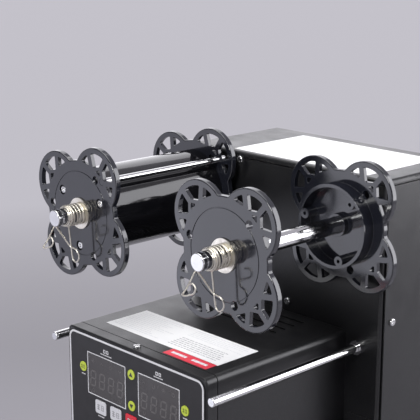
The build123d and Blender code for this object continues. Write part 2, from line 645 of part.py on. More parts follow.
def gear_motors():
    return [gear_motor(facing_front(0, Y_CHEEK_BACK, Z_CAM)),
            gear_motor(facing_front(SCREW_X, Y_MOTOR, Z_SCREW)),
            gear_motor(facing_front(-REEL_X, Y_MOTOR, Z_REEL))]


# ---- Cup table and tray ---------------------------------------------------------------------------
def table_frame():
    front = Y_TABLE
    table = block((-ARM_OUTER_X, ARM_OUTER_X), (front, Y_FACE), (Z_TABLE_BOTTOM, Z_TABLE))
    table = rounded(table, Axis.Z, 3.0, lambda edge: edge.center().Y < front + 1)
    cup_way = block((-ARM_INNER_X, ARM_INNER_X), (front, Y_FILM + CUP_R + 12.0), (Z_TABLE_BOTTOM, Z_TABLE))
    table -= cup_way
    under = (Z_TABLE_BOTTOM, Z_TABLE - TABLE_WALL)
    for side in (-1, 1):
        x = sorted((side * (ARM_INNER_X + TABLE_WALL), side * (ARM_OUTER_X - TABLE_WALL)))
        table -= block(x, (front + TABLE_WALL, Y_FACE), under)
    neck_slot = block((SCREW_X - 2.5, SCREW_X + 2.5), (front + 12.0, Y_FACE), (Z_TABLE - TABLE_WALL, Z_TABLE))
    table -= neck_slot
    table -= rod("y", (SCREW_X, Z_SCREW), SCREW_R + RUNNING_PLAY, (front, front + TABLE_WALL))
    return table


def tray_rails():
    """Angle strips that hold the tray's edges down on the table."""
    rails = []
    for side in (-1, 1):
        outer = side * (TRAY_HALF_WIDTH + 8.0)
        upright = block(sorted((side * (TRAY_HALF_WIDTH + TRAY_PLAY), outer)),
                        (Y_TABLE + 4.0, Y_FACE), (Z_TABLE, Z_TRAY_TOP + TRAY_PLAY))
        lip = block(sorted((side * (TRAY_HALF_WIDTH - 4.0), outer)),
                    (Y_TABLE + 4.0, Y_FACE), (Z_TRAY_TOP + TRAY_PLAY, Z_TRAY_TOP + TRAY_PLAY + 1.6))
        rails.append(upright + lip)
    return rails


def tray_plate():
    front = Y_HEAD + 7.0
    z = (Z_TRAY, Z_TRAY_TOP)
    plate = block((-TRAY_HALF_WIDTH, TRAY_HALF_WIDTH), (front, TRAY_BACK), z)
    plate = rounded(plate, Axis.Z, TRAY_CORNER)
    width, reach, drop = GRIP
    grip = block((-width / 2, width / 2), (front - reach, front), (Z_TRAY - drop, Z_TRAY_TOP))
    plate += rounded(grip, Axis.X, 1.5, lambda edge: edge.center().Y < front - 1)
    plate -= rod("z", (0, Y_FILM), CUP_R + 5.0, z)
    nut_y = (TRAY_BACK - 14.0 - NUT_SIZE[1], TRAY_BACK - 14.0)
    half_x, half_z = NUT_SIZE[0] / 2, NUT_SIZE[2] / 2
    neck = block((SCREW_X - NUT_NECK / 2, SCREW_X + NUT_NECK / 2), nut_y, (Z_SCREW + half_z, Z_TRAY))
    nut = block((SCREW_X - half_x, SCREW_X + half_x), nut_y, (Z_SCREW - half_z, Z_SCREW + half_z))
    nut -= rod("y", (SCREW_X, Z_SCREW), SCREW_R + SHAFT_PLAY, nut_y)
    return plate + neck + nut


def cup_ring():
    """Mould ring: a spigot in the tray, a flange on it and a raised seat for the cup's rim."""
    seat_top = Z_TRAY_TOP + 4.0
    ring = rod("z", (0, Y_FILM), CUP_R + 4.8, (seat_top - CUP_RING_DEPTH, Z_TRAY_TOP))
    ring += rod("z", (0, Y_FILM), CUP_R + 11.0, (Z_TRAY_TOP, Z_TRAY_TOP + 2.0))
    ring += rod("z", (0, Y_FILM), CUP_R + 3.8, (Z_TRAY_TOP + 2.0, seat_top))
    return ring - rod("z", (0, Y_FILM), CUP_R, (seat_top - CUP_RING_DEPTH, seat_top))


def tray_screw():
    return rod("y", (SCREW_X, Z_SCREW), SCREW_R, (Y_TABLE, Y_MOTOR + OUTPUT_REACH))


# ---- Reels ------------------------------------------------------------------------------------------
def lobed_outline():
    outline = Sketch() + Circle(WAIST_R)
    for quarter in range(4):
        outline += Rot(0, 0, 90 * quarter) * Pos(LOBE_OFFSET, 0) * Circle(LOBE_R)
    return fillet(outline.vertices(), WAIST_FILLET)


def lobe_windows():
    """Five cut-outs of the lobe that points along local +X, with its spokes between them."""
    windows = Pos(LOBE_OFFSET, 0) * Circle(LOBE_R - RIM_WIDTH) - Circle(WINDOW_DISC_R)
    bars = [(FORK_ORIGIN - FORK_WIDTH / 3, 0.0, SPOKE_WIDTH)]
    for side in (-1, 1):
        bars.append((SPOKE_ORIGIN, side * SPOKE_ANGLE, SPOKE_WIDTH))
        bars.append((FORK_ORIGIN, side * FORK_ANGLE, FORK_WIDTH))
    for start, angle, width in bars:
        windows -= Pos(start, 0) * Rot(0, 0, angle) * Pos(LOBE_R / 2, 0) * Rectangle(LOBE_R, width)
    return fillet(windows.vertices(), WINDOW_FILLET)


def boss_places(direction):
    first = REAR_BOSS_ANGLE if direction > 0 else FRONT_BOSS_ANGLE
    return [polar(BOSS_CIRCLE_R, first + 120 * third) for third in range(3)]


def hub_cup(direction):
    """Cup that centres the film core, on the plate's front (+1) or back (-1), with its bosses."""
    base = 0.0 if direction > 0 else -FLANGE_PLATE
    middle = base + direction * HUB_DEPTH / 2
    cup = Pos(0, 0, middle) * (Cylinder(HUB_R, HUB_DEPTH) - Cylinder(HUB_R - HUB_WALL, HUB_DEPTH))
    if direction > 0:
        cup += Pos(0, 0, CUP_COLLAR_HEIGHT / 2) * Cylinder(CUP_COLLAR_R, CUP_COLLAR_HEIGHT)
    else:
        cup += Pos(0, 0, middle) * Cylinder(COLLAR_R, HUB_DEPTH)
    for x, y in boss_places(direction):
        cup += Pos(x, y, middle) * Cylinder(BOSS_R, HUB_DEPTH)
        cup -= Pos(x, y, middle) * Cylinder(SCREW_SHANK_R + HOLE_PLAY, HUB_DEPTH)
    return cup


def reel_flange(direction):
    """Four-lobed flange in local axes: front face on the XY plane, plate and rim towards -Z."""
    outline = lobed_outline()
    band = outline - offset(outline, amount=-RIM_WIDTH + 0.6)
    body = extrude(outline, amount=-FLANGE_PLATE) + extrude(band, amount=-FLANGE_RIM)
    body = fillet(body.faces().sort_by(Axis.Z)[-1].outer_wire().edges(), 0.9)
    for quarter in range(4):
        body -= Rot(0, 0, 90 * quarter) * extrude(lobe_windows(), amount=-FLANGE_RIM)
    groove = Circle(RELIEF_CIRCLE_R + 0.4) - Circle(RELIEF_CIRCLE_R - 0.4)
    if direction < 0:
        body -= extrude(groove, amount=-0.5)
    body += hub_cup(direction)
    for third in range(3):
        x, y = polar(EYELET_CIRCLE_R, 120 * third)
        body -= Pos(x, y, 0) * Cylinder(EYELET_R, 2 * HUB_DEPTH)
    if direction > 0:
        body += Pos(0, 0, -FLANGE_PLATE - COLLAR_LENGTH / 2) * Cylinder(COLLAR_R, COLLAR_LENGTH)
    return body - Cylinder(SHAFT_R + BORE_PLAY, 6 * HUB_DEPTH)


def clamp_bar_place():
    x, z = polar(CLAMP_BAR_ORBIT, CLAMP_BAR_ANGLE)
    return -REEL_X + x, Z_REEL + z


def supply_front_flange(base):
    return facing_front(REEL_X, Y_FRONT_FLANGE, Z_REEL, SUPPLY_FRONT_PHASE) * base


def supply_rear_flange(base):
    return facing_front(REEL_X, Y_REAR_FLANGE, Z_REEL, SUPPLY_REAR_PHASE) * base


def take_up_front_flange(base):
    for x, y in boss_places(-1):
        base -= Pos(x, y, -RECESS_DEPTH / 2) * Cylinder(RECESS_R, RECESS_DEPTH)
        base -= Pos(x, y, 0) * Cylinder(SCREW_SHANK_R + HOLE_PLAY, 2 * FLANGE_PLATE)
    flange = facing_front(-REEL_X, Y_FRONT_FLANGE, Z_REEL, TAKE_UP_PHASE) * base
    return flange - rod("y", clamp_bar_place(), CLAMP_BAR_R + BORE_PLAY, (Y_FRONT_FLANGE - 1, Y_FILM))


def take_up_rear_flange(base):
    flange = facing_front(-REEL_X, Y_REAR_FLANGE, Z_REEL, TAKE_UP_PHASE) * base
    return flange - rod("y", clamp_bar_place(), CLAMP_BAR_R + BORE_PLAY, (Y_FILM, Y_FACE))


def take_up_drum():
    return pipe("y", (-REEL_X, Z_REEL), DRUM_R, HUB_R + DRUM_PLAY,
                (Y_FRONT_FLANGE + FLANGE_PLATE, Y_REAR_FLANGE - DRUM_PLAY))


def take_up_clamp_bar():
    """Bar that pinches the film's end, long enough to stay in the rear flange when pulled forward."""
    back = Y_REAR_FLANGE + FLANGE_PLATE + 0.8 * FLOAT_TRAVEL
    return rod("y", clamp_bar_place(), CLAMP_BAR_R, (Y_FRONT_FLANGE + 0.5, back))


def reel_shaft(x, y_end, end_r):
    """Shaft with a retaining groove behind its tip."""
    shaft = rod("y", (x, Z_REEL), SHAFT_R, (Y_SHAFT_TIP, Y_MOTOR - 4.0))
    shaft = fillet(shaft.edges().sort_by(Axis.Y)[0], 0.8)
    groove_y = Y_SHAFT_TIP + GROOVE_SETBACK
    shaft -= pipe("y", (x, Z_REEL), SHAFT_R + 1, SHAFT_R - 1.0, (groove_y, groove_y + GROOVE_WIDTH))
    return shaft + rod("y", (x, Z_REEL), end_r, (Y_MOTOR - 4.0, y_end))


def reel_washer(x):
    return pipe("y", (x, Z_REEL), WASHER_R, SHAFT_R + BORE_PLAY,
                (Y_FRONT_FLANGE - WASHER_THICKNESS, Y_FRONT_FLANGE))


def coil(radius, wire, pitch, turns):
    """Round wire wound on local Z, starting at local +X."""
    path = Helix(pitch=pitch, height=pitch * turns, radius=radius)
    section = Plane(origin=path @ 0, z_dir=path % 0) * Circle(wire / 2)
    return sweep(section, path=path, is_frenet=True)


def clip_start():
    """Y of the clip's rear coil face."""
    return Y_SHAFT_TIP + GROOVE_SETBACK + GROOVE_WIDTH + (CLIP_TURNS + 1) * SPRING_WIRE - 0.2


def reel_spring(x):
    """Compression spring from the washer to the clip."""
    back = Y_FRONT_FLANGE - WASHER_THICKNESS - SPRING_WIRE / 2
    front = clip_start() + SPRING_WIRE / 2
    wire = coil(SPRING_COIL_R, SPRING_WIRE, (back - front) / SPRING_TURNS, SPRING_TURNS)
    return facing_front(x, back, Z_REEL, 0) * wire


def reel_clip(x):
    """Wrap clip: close coils on the shaft and two finger tails with round eyes."""
    pitch = SPRING_WIRE * 1.04
    back = clip_start() - SPRING_WIRE / 2
    coils = facing_front(0, 0, 0, -90) * coil(CLIP_COIL_R, SPRING_WIRE, pitch, CLIP_TURNS)
    tails = []
    for y, (lean, drop, eye) in ((0.0, CLIP_REAR_TAIL), (-pitch * CLIP_TURNS, CLIP_FRONT_TAIL)):
        top = Vector(0, y, -CLIP_COIL_R)
        low = Vector(0, y - lean, top.Z - drop + 2 * eye)
        down = (low - top).normalized()
        tail = Cylinder(SPRING_WIRE / 2, (low - top).length)
        tails.append(Location(Plane(origin=(top + low) * 0.5, z_dir=down)) * tail)
        ring = Location(Plane(origin=low + down * eye, x_dir=(0, 0, 1), z_dir=(1, 0, 0)))
        tails.append(ring * Torus(eye, SPRING_WIRE / 2))
    clip = coils
    for piece in tails:
        clip += piece
    return Pos(x, back, Z_REEL) * clip


def shaft_bearings():
    """Flanged bushes: one for each shaft in the cabinet face, one for the supply shaft behind."""
    bushes = []
    for x in (-REEL_X, REEL_X):
        bush = rod("y", (x, Z_REEL), BEARING_R, (Y_FACE, Y_FACE + 9.0))
        bush += rod("y", (x, Z_REEL), BEARING_R + 3.0, (Y_FACE - 1.2, Y_FACE))
        bushes.append(bush - rod("y", (x, Z_REEL), SHAFT_R + RUNNING_PLAY, (Y_FACE - 1.2, Y_FACE + 9.0)))
    span = (Y_BEARING_PLATE - 7.0, Y_BEARING_PLATE + PLATE_THICKNESS)
    rear = rod("y", (REEL_X, Z_REEL), BEARING_R, span)
    rear += rod("y", (REEL_X, Z_REEL), BEARING_R + 3.0, (span[0], Y_BEARING_PLATE))
    bushes.append(rear - rod("y", (REEL_X, Z_REEL), CAM_SHAFT_R + RUNNING_PLAY, span))
    return bushes


# ---- Film guides and sensor ---------------------------------------------------------------------------
def guide_places():
    return ((GUIDE_LEFT_X, Z_GUIDE), (GUIDE_RIGHT_X, Z_GUIDE),
            (-LOWER_GUIDE_X, Z_LOWER_GUIDE), (LOWER_GUIDE_X, Z_LOWER_GUIDE))


def guide_spindles():
    """Two pins with collar and end cap that carry the sleeves, and two plain lower rods."""
    tip = Y_HEAD - GUIDE_OVERHANG
    rods = []
    for number, at in enumerate(guide_places()):
        spindle = rod("y", at, GUIDE_COLLAR_R, (Y_FACE - 4.0, Y_FACE))
        spindle += rod("y", at, GUIDE_PIN_R, (Y_FACE, Y_FACE + 8.0))
        if number < 2:
            spindle += rod("y", at, GUIDE_PIN_R, (tip + GUIDE_CAP, Y_FACE - 4.0))
            cap = rod("y", at, GUIDE_R, (tip, tip + GUIDE_CAP))
            spindle += fillet(cap.edges().sort_by(Axis.Y)[0], 0.8)
        else:
            plain = rod("y", at, GUIDE_R, (Y_HEAD + 18.0, Y_FACE - 4.0))
            spindle += fillet(plain.edges().sort_by(Axis.Y)[0], 0.8)
        rods.append(spindle)
    return rods


def guide_sleeve(at):
    tip = Y_HEAD - GUIDE_OVERHANG
    return pipe("y", at, GUIDE_R, GUIDE_PIN_R + RUNNING_PLAY, (tip + GUIDE_CAP + 0.3, Y_FACE - 4.3))


def sensor_bracket():
    """Plate on the cabinet face with one cut corner, and a forward arm at its outer edge."""
    right = SENSOR_LEFT + SENSOR_PLATE[0]
    plate = block((SENSOR_LEFT, right), (Y_FACE - SENSOR_SHEET, Y_FACE), (Z_SENSOR - SENSOR_PLATE[1], Z_SENSOR))
    corner = plate.edges().filter_by(Axis.Y).sort_by(Axis.X)[:2].sort_by(Axis.Z)[-1]
    plate = chamfer(corner, SENSOR_CORNER)
    arm = block((right - SENSOR_SHEET, right), (Y_FACE - SENSOR_REACH, Y_FACE - SENSOR_SHEET),
                (Z_SENSOR - SENSOR_ARM[1], Z_SENSOR - SENSOR_ARM[0]))
    return plate + arm


def photo_eye():
    """Sensor head on the inner side of the bracket's arm, its lens towards the film."""
    wide, deep, high = EYE_SIZE
    right = SENSOR_LEFT + SENSOR_PLATE[0] - SENSOR_SHEET
    front = Y_FACE - SENSOR_REACH
    middle = Z_SENSOR - (SENSOR_ARM[0] + SENSOR_ARM[1]) / 2
    body = block((right - wide, right), (front, front + deep), (middle - high / 2, middle + high / 2))
    body = fillet(body.edges().filter_by(Axis.X), 1.5)
    return body + rod("x", (front + deep / 2, middle), EYE_LENS_R, (right - wide - 1.5, right - wide))


# ---- Electrics ----------------------------------------------------------------------------------------
def power_supply():
    width, height = SUPPLY_CAN
    can = block((SUPPLY_CAN_LEFT, SUPPLY_CAN_LEFT + width), (Y_FACE + SUPPLY_CAN_GAP, Y_BACK - SUPPLY_CAN_GAP),
                (Z_DECK, Z_DECK + height))
    return rounded(can, Axis.Z, 2.0)


def power_entry():
    """Mains inlet with the switch housing above it."""
    flange = block((ENTRY_X - 20, ENTRY_X + 20), (Y_BACK, Y_ENTRY), (Z_ENTRY - 28, Z_ENTRY + 28))
    flange = rounded(flange, Axis.Y, 3.0)
    half_x, half_z = ENTRY_CUT[0] / 2 - TRAY_PLAY, ENTRY_CUT[1] / 2 - TRAY_PLAY
    entry = flange + block((ENTRY_X - half_x, ENTRY_X + half_x), (Y_BACK - 24, Y_BACK),
                           (Z_ENTRY - half_z, Z_ENTRY + half_z))
    socket_z = Z_ENTRY - SOCKET_DROP
    half_x, half_z = SOCKET[0] / 2, SOCKET[1] / 2
    entry -= block((ENTRY_X - half_x, ENTRY_X + half_x), (Y_ENTRY - SOCKET[2], Y_ENTRY),
                   (socket_z - half_z, socket_z + half_z))
    for dx, dz in ((-7.0, -2.0), (0.0, 2.0), (7.0, -2.0)):
        entry += block((ENTRY_X + dx - 1, ENTRY_X + dx + 1), (Y_ENTRY - SOCKET[2], Y_ENTRY - 3.0),
                       (socket_z + dz - 2, socket_z + dz + 2))
    half_x, half_z = ROCKER_WELL[0] / 2, ROCKER_WELL[1] / 2
    entry -= block((ENTRY_X - half_x, ENTRY_X + half_x), (Y_ENTRY - ROCKER_WELL[2], Y_ENTRY),
                   (Z_ROCKER - half_z, Z_ROCKER + half_z))
    return entry - rod("x", (Y_ENTRY - ROCKER_PIVOT_DEPTH, Z_ROCKER), ROCKER_PIVOT_R + RUNNING_PLAY,
                       (ENTRY_X - half_x - 1.6, ENTRY_X + half_x + 1.6))


def rocker():
    """Rocker on a cross pivot, tipped to its off side."""
    half_x, half_z = ROCKER_WELL[0] / 2, ROCKER_WELL[1] / 2
    end = half_z - 0.8
    crown = ROCKER_PIVOT_DEPTH - 1.0
    outline = make_face(Polyline((-end, 0), (-end, crown), (0, crown - 1.4), (end, crown), (end, 0),
                                 (0, -4.5), close=True))
    body = extrude(outline, amount=half_x - 0.7, both=True)
    body += Cylinder(ROCKER_PIVOT_R, 2 * half_x + 3.0)
    pivot = Plane(origin=(ENTRY_X, Y_ENTRY - ROCKER_PIVOT_DEPTH, Z_ROCKER), x_dir=(0, 0, 1),
                  z_dir=(-1, 0, 0))
    return Location(pivot) * Rot(0, 0, ROCKER_TILT) * body


def case_screws():
    places = face_screws() + back_screws() + cap_screws() + panel_screws()
    for x, y in foot_places():
        places.append(on_plane((x, y, FOOT_HEIGHT - FOOT_SEAT), (0, 0, -1), (1, 0, 0)))
    return [screw(place) for place in places]


def nodes():
    front_flange = reel_flange(-1)
    rear_flange = reel_flange(1)
    made = {
        "base_pan": base_pan(), "rubber_feet": rubber_feet(), "cabinet_face": cabinet_face(),
        "cabinet_back": cabinet_back(), "cabinet_lid": cabinet_lid(),
        "side_panel_left": side_panel(CABINET_LEFT, -1), "side_panel_right": side_panel(CABINET_RIGHT, 1),
        "bearing_plate": bearing_plate(), "head_shell": head_shell(), "head_front_cap": head_front_cap(),
        "head_bottom_plate": head_bottom_plate(), "panel_overlay": panel_overlay(),
        "control_board": control_board(), "press_bracket": press_bracket(),
        "guide_columns": guide_columns(), "gear_motors": gear_motors(), "table_frame": table_frame(),
        "tray_rails": tray_rails(), "shaft_bearings": shaft_bearings(),
        "guide_spindles": guide_spindles(), "sensor_bracket": sensor_bracket(), "photo_eye": photo_eye(),
        "power_supply": power_supply(), "power_entry": power_entry(), "case_screws": case_screws(),
        "rocker": rocker(), "press_carriage": press_carriage(), "cam_follower": cam_follower(),
        "heater_block": heater_block(), "cutter_ring": cutter_ring(), "return_springs": return_springs(),
        "press_cam": press_cam(), "tray_plate": tray_plate(), "cup_ring": cup_ring(),
        "tray_screw": tray_screw(),
        "guide_sleeve_left": guide_sleeve(guide_places()[0]),
        "guide_sleeve_right": guide_sleeve(guide_places()[1]),
        "supply_shaft": reel_shaft(REEL_X, Y_BEARING_PLATE + PLATE_THICKNESS, CAM_SHAFT_R),
        "supply_rear_flange": supply_rear_flange(rear_flange),
        "supply_front_flange": supply_front_flange(front_flange),
        "take_up_shaft": reel_shaft(-REEL_X, Y_MOTOR + OUTPUT_REACH, CAM_SHAFT_R),
        "take_up_rear_flange": take_up_rear_flange(rear_flange),
        "take_up_front_flange": take_up_front_flange(front_flange),
        "take_up_drum": take_up_drum(), "take_up_clamp_bar": take_up_clamp_bar(),
    }
    for name in key_names():
        made[name] = panel_key(name)
    for name, x in (("supply", REEL_X), ("take_up", -REEL_X)):
        made[f"{name}_washer"] = reel_washer(x)
        made[f"{name}_spring"] = reel_spring(x)
        made[f"{name}_clip"] = reel_clip(x)
    return made


os.makedirs("parts", exist_ok=True)
for node, shape in nodes().items():
    solids = shape if isinstance(shape, list) else [shape]
    export_step(Compound(children=solids) if len(solids) > 1 else solids[0], f"parts/{node}.step")
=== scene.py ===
import json
import random
from math import cos, pi, radians, sin

import bmesh
import bpy
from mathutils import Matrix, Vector


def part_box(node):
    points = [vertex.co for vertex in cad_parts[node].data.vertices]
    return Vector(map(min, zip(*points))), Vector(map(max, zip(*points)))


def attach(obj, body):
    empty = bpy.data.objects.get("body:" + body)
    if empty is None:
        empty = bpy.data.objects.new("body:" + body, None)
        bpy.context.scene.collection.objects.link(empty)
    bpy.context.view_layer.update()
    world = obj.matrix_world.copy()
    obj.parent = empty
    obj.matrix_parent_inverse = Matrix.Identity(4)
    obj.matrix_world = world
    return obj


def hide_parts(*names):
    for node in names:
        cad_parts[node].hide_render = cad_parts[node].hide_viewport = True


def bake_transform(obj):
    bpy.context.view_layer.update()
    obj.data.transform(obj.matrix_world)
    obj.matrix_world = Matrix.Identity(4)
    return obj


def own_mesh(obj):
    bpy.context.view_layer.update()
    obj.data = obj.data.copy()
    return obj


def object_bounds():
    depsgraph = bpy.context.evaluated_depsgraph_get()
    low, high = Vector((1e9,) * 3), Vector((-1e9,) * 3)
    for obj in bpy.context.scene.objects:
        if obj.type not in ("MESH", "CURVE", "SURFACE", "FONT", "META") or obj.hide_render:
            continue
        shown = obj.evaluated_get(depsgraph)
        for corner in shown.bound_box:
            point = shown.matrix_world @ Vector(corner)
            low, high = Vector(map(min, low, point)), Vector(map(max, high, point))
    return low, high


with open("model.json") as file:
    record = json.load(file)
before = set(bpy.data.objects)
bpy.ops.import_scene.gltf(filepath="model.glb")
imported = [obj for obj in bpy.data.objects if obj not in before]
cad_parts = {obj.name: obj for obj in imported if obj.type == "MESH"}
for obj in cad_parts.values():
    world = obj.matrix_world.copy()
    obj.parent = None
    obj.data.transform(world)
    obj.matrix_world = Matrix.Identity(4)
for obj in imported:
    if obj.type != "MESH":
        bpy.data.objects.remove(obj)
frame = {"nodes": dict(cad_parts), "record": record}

CAD_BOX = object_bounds()
MM = 0.001
PRINT = 0.08 * MM           # thickness of printed ink
LABEL = 0.15 * MM           # thickness of a paper label
random.seed(7)


# ---- Places taken from the frame ----------------------------------------------------------------
def centre(node):
    low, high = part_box(node)
    return (low + high) / 2


HEAD_LOW, HEAD_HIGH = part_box("head_shell")
HEAD_X = (HEAD_LOW.x + HEAD_HIGH.x) / 2
HEAD_TOP = HEAD_HIGH.z
HEAD_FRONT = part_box("head_front_cap")[0].y
PANEL_LOW, PANEL_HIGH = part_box("panel_overlay")
PANEL_FRONT = PANEL_LOW.y
LID_LOW, LID_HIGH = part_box("cabinet_lid")


# ---- Camera -------------------------------------------------------------------------------------
CAMERA_FROM_HEAD = Vector((0.7305, -0.6012, 0.3608))    # from the middle of the head's top front edge
CAMERA_YAW = radians(46.6)
CAMERA_PITCH = radians(14.18)
CAMERA_LENS = 101.6


def make_camera():
    data = bpy.data.cameras.new("camera")
    data.lens = CAMERA_LENS
    data.sensor_width = 36.0
    camera = bpy.data.objects.new("camera", data)
    bpy.context.scene.collection.objects.link(camera)
    camera.location = Vector((HEAD_X, HEAD_FRONT, HEAD_TOP)) + CAMERA_FROM_HEAD
    forward = Vector((-sin(CAMERA_YAW) * cos(CAMERA_PITCH), cos(CAMERA_YAW) * cos(CAMERA_PITCH),
                      -sin(CAMERA_PITCH)))
    camera.rotation_mode = "QUATERNION"
    camera.rotation_quaternion = forward.to_track_quat("-Z", "Y")
    data.clip_start = 0.01
    data.clip_end = 100.0
    bpy.context.scene.camera = camera


make_camera()


# ---- Materials ----------------------------------------------------------------------------------
class Finish:
    """A node material: a Principled shader with short calls for what feeds it."""

    def __init__(self, name, colour, roughness, metallic=0.0, **sockets):
        self.material = bpy.data.materials.new(name)
        self.material.use_nodes = True
        self.tree = self.material.node_tree
        self.shader = self.tree.nodes["Principled BSDF"]
        self.colour = colour
        self.shader.inputs["Base Color"].default_value = (*colour, 1)
        self.shader.inputs["Roughness"].default_value = roughness
        self.shader.inputs["Metallic"].default_value = metallic
        for socket, value in sockets.items():
            self.shader.inputs[socket.replace("_", " ")].default_value = value

    def add(self, kind, **inputs):
        node = self.tree.nodes.new("ShaderNode" + kind)
        for name, value in inputs.items():
            self.feed(node.inputs[name.replace("_", " ")], value)
        return node

    def feed(self, socket, value):
        if isinstance(value, bpy.types.NodeSocket):
            self.tree.links.new(value, socket)
        else:
            socket.default_value = value

    def noise(self, size, detail=2.0, stretch=(1, 1, 1), roughness=0.5):
        """Noise with features of about this size; stretch above 1 draws them out along that axis."""
        place = self.add("TexCoord").outputs["Object"]
        scaled = self.add("Mapping", Vector=place, Scale=tuple(1 / s for s in stretch))
        texture = self.add("TexNoise", Vector=scaled.outputs["Vector"], Scale=1 / size, Detail=detail,
                           Roughness=roughness)
        return texture.outputs[0]

    def between(self, value, low, high, to_low=0.0, to_high=1.0):
        node = self.add("MapRange", Value=value)
        node.clamp = True
        for socket, number in zip(("From Min", "From Max", "To Min", "To Max"),
                                  (low, high, to_low, to_high)):
            self.feed(node.inputs[socket], number)
        return node.outputs["Result"]

    def maths(self, operation, a, b):
        node = self.add("Math")
        node.operation = operation
        self.feed(node.inputs[0], a)
        self.feed(node.inputs[1], b)
        return node.outputs[0]

    def tint(self, factor, other):
        """Mixes the colour so far with another by a factor."""
        node = self.add("Mix")
        node.data_type = "RGBA"
        socket = self.shader.inputs["Base Color"]
        first = socket.links[0].from_socket if socket.links else (*self.colour, 1)
        self.feed(node.inputs[0], factor)
        self.feed(node.inputs[6], first)
        self.feed(node.inputs[7], (*other, 1))
        self.tree.links.new(node.outputs[2], socket)

    def rough(self, value, low, high, at_low, at_high):
        self.feed(self.shader.inputs["Roughness"], self.between(value, low, high, at_low, at_high))

    def bump(self, height, depth, strength=1.0, soften=None):
        """Relief of this depth in metres, over edges softened by a radius."""
        node = self.add("Bump", Height=height, Strength=strength, Distance=depth)
        if soften:
            self.feed(node.inputs["Normal"], self.soft_normal(soften))
        self.tree.links.new(node.outputs["Normal"], self.shader.inputs["Normal"])

    def soft_normal(self, radius):
        bevel = self.add("Bevel", Radius=radius)
        bevel.samples = 4
        return bevel.outputs["Normal"]

    def edges(self, radius):
        """1 on the outer and inner edges of the shape and 0 on its flats."""
        true = self.add("NewGeometry").outputs["Normal"]
        dot = self.add("VectorMath")
        dot.operation = "DOT_PRODUCT"
        self.feed(dot.inputs[0], self.soft_normal(radius))
        self.feed(dot.inputs[1], true)
        return self.between(dot.outputs["Value"], 0.93, 0.72)


def powder_coat():
    """Satin black powder coat: fine orange peel, a little dust, light specks painted in as glints, and thinner
    edges that are lighter partly from wear and partly as a painted highlight.
    """
    f = Finish("powder_coat", (0.0055, 0.0055, 0.0065), 0.33, Specular_IOR_Level=0.55)
    grain = f.noise(0.7 * MM, 3.0)
    f.rough(f.noise(22 * MM, 4.0), 0.3, 0.7, 0.28, 0.38)
    f.tint(f.between(f.noise(60 * MM, 5.0), 0.35, 0.75, 0.0, 0.5), (0.013, 0.013, 0.014))
    # Sparse light grey specks: painted glints that stand in for the coat's sparkle near highlights.
    f.tint(f.between(f.noise(0.5 * MM, 0.0), 0.70, 0.76, 0.0, 0.35), (0.16, 0.16, 0.165))
    # Lighter edges: partly the thinner, rubbed coat and partly a painted edge highlight.
    f.tint(f.maths("MULTIPLY", f.edges(0.5 * MM), 0.5), (0.045, 0.045, 0.048))
    f.bump(grain, 0.10 * MM, 0.55, 0.45 * MM)
    return f.material


def sheet_steel(name, colour, roughness, stretch):
    f = Finish(name, colour, roughness, 1.0)
    lines = f.noise(0.35 * MM, 2.0, stretch)
    f.rough(lines, 0.3, 0.7, roughness - 0.08, roughness + 0.1)
    f.tint(f.between(f.noise(14 * MM, 4.0), 0.35, 0.7, 0.0, 0.45), tuple(0.8 * c for c in colour))
    f.bump(lines, 0.03 * MM, 0.35, 0.3 * MM)
    return f.material


def zinc_plate():
    """Zinc plated steel with a faint spangle."""
    f = Finish("zinc_plate", (0.56, 0.57, 0.59), 0.38, 1.0)
    place = f.add("TexCoord").outputs["Object"]
    spangle = f.add("TexVoronoi", Vector=place, Scale=1 / (5 * MM)).outputs["Color"]
    value = f.add("SeparateColor", Color=spangle).outputs[0]
    f.rough(value, 0.0, 1.0, 0.3, 0.46)
    f.tint(f.between(value, 0.0, 1.0, 0.0, 0.4), (0.44, 0.46, 0.49))
    f.bump(f.noise(1.2 * MM), 0.05 * MM, 0.3, 0.3 * MM)
    return f.material


def polished(name, colour, roughness, stretch=(1, 1, 1), soften=0.15 * MM):
    """Plated or turned metal with fine lines and slight haze."""
    f = Finish(name, colour, roughness, 1.0)
    lines = f.noise(0.25 * MM, 2.0, stretch)
    f.rough(f.noise(6 * MM, 4.0), 0.3, 0.7, 0.6 * roughness, 1.4 * roughness)
    f.tint(f.between(f.noise(9 * MM, 5.0), 0.45, 0.75, 0.0, 0.35), tuple(0.72 * c for c in colour))
    f.bump(lines, 0.012 * MM, 0.3 if soften else 0.05, soften)
    return f.material


def flange_moulding():
    """Semi-gloss slate plastic: flow marks, fine pits and rims lightened as a painted highlight."""
    f = Finish("flange_moulding", (0.012, 0.013, 0.019), 0.11, Specular_IOR_Level=1.0)
    f.rough(f.noise(12 * MM, 4.0), 0.3, 0.7, 0.08, 0.14)
    f.tint(f.between(f.noise(30 * MM, 3.0, (1, 3, 1)), 0.35, 0.7, 0.0, 0.5), (0.008, 0.009, 0.013))
    # Lighter rims: a painted highlight along the moulding's edges.
    f.tint(f.maths("MULTIPLY", f.edges(0.5 * MM), 0.45), (0.10, 0.105, 0.12))
    f.bump(f.noise(2.5 * MM, 3.0), 0.012 * MM, 0.12, 0.4 * MM)
    return f.material


def drum_gloss():
    """High gloss black tube with faint handling marks along it."""
    f = Finish("drum_gloss", (0.004, 0.004, 0.005), 0.09, Specular_IOR_Level=0.5, Coat_Weight=0.3,
               Coat_Roughness=0.04)
    marks = f.noise(1.2 * MM, 4.0, (1, 20, 1))
    f.rough(marks, 0.45, 0.8, 0.06, 0.22)
    f.tint(f.between(f.noise(40 * MM, 4.0), 0.4, 0.7, 0.0, 0.5), (0.008, 0.008, 0.010))
    f.bump(f.noise(18 * MM, 2.0), 0.03 * MM, 0.25)
    return f.material


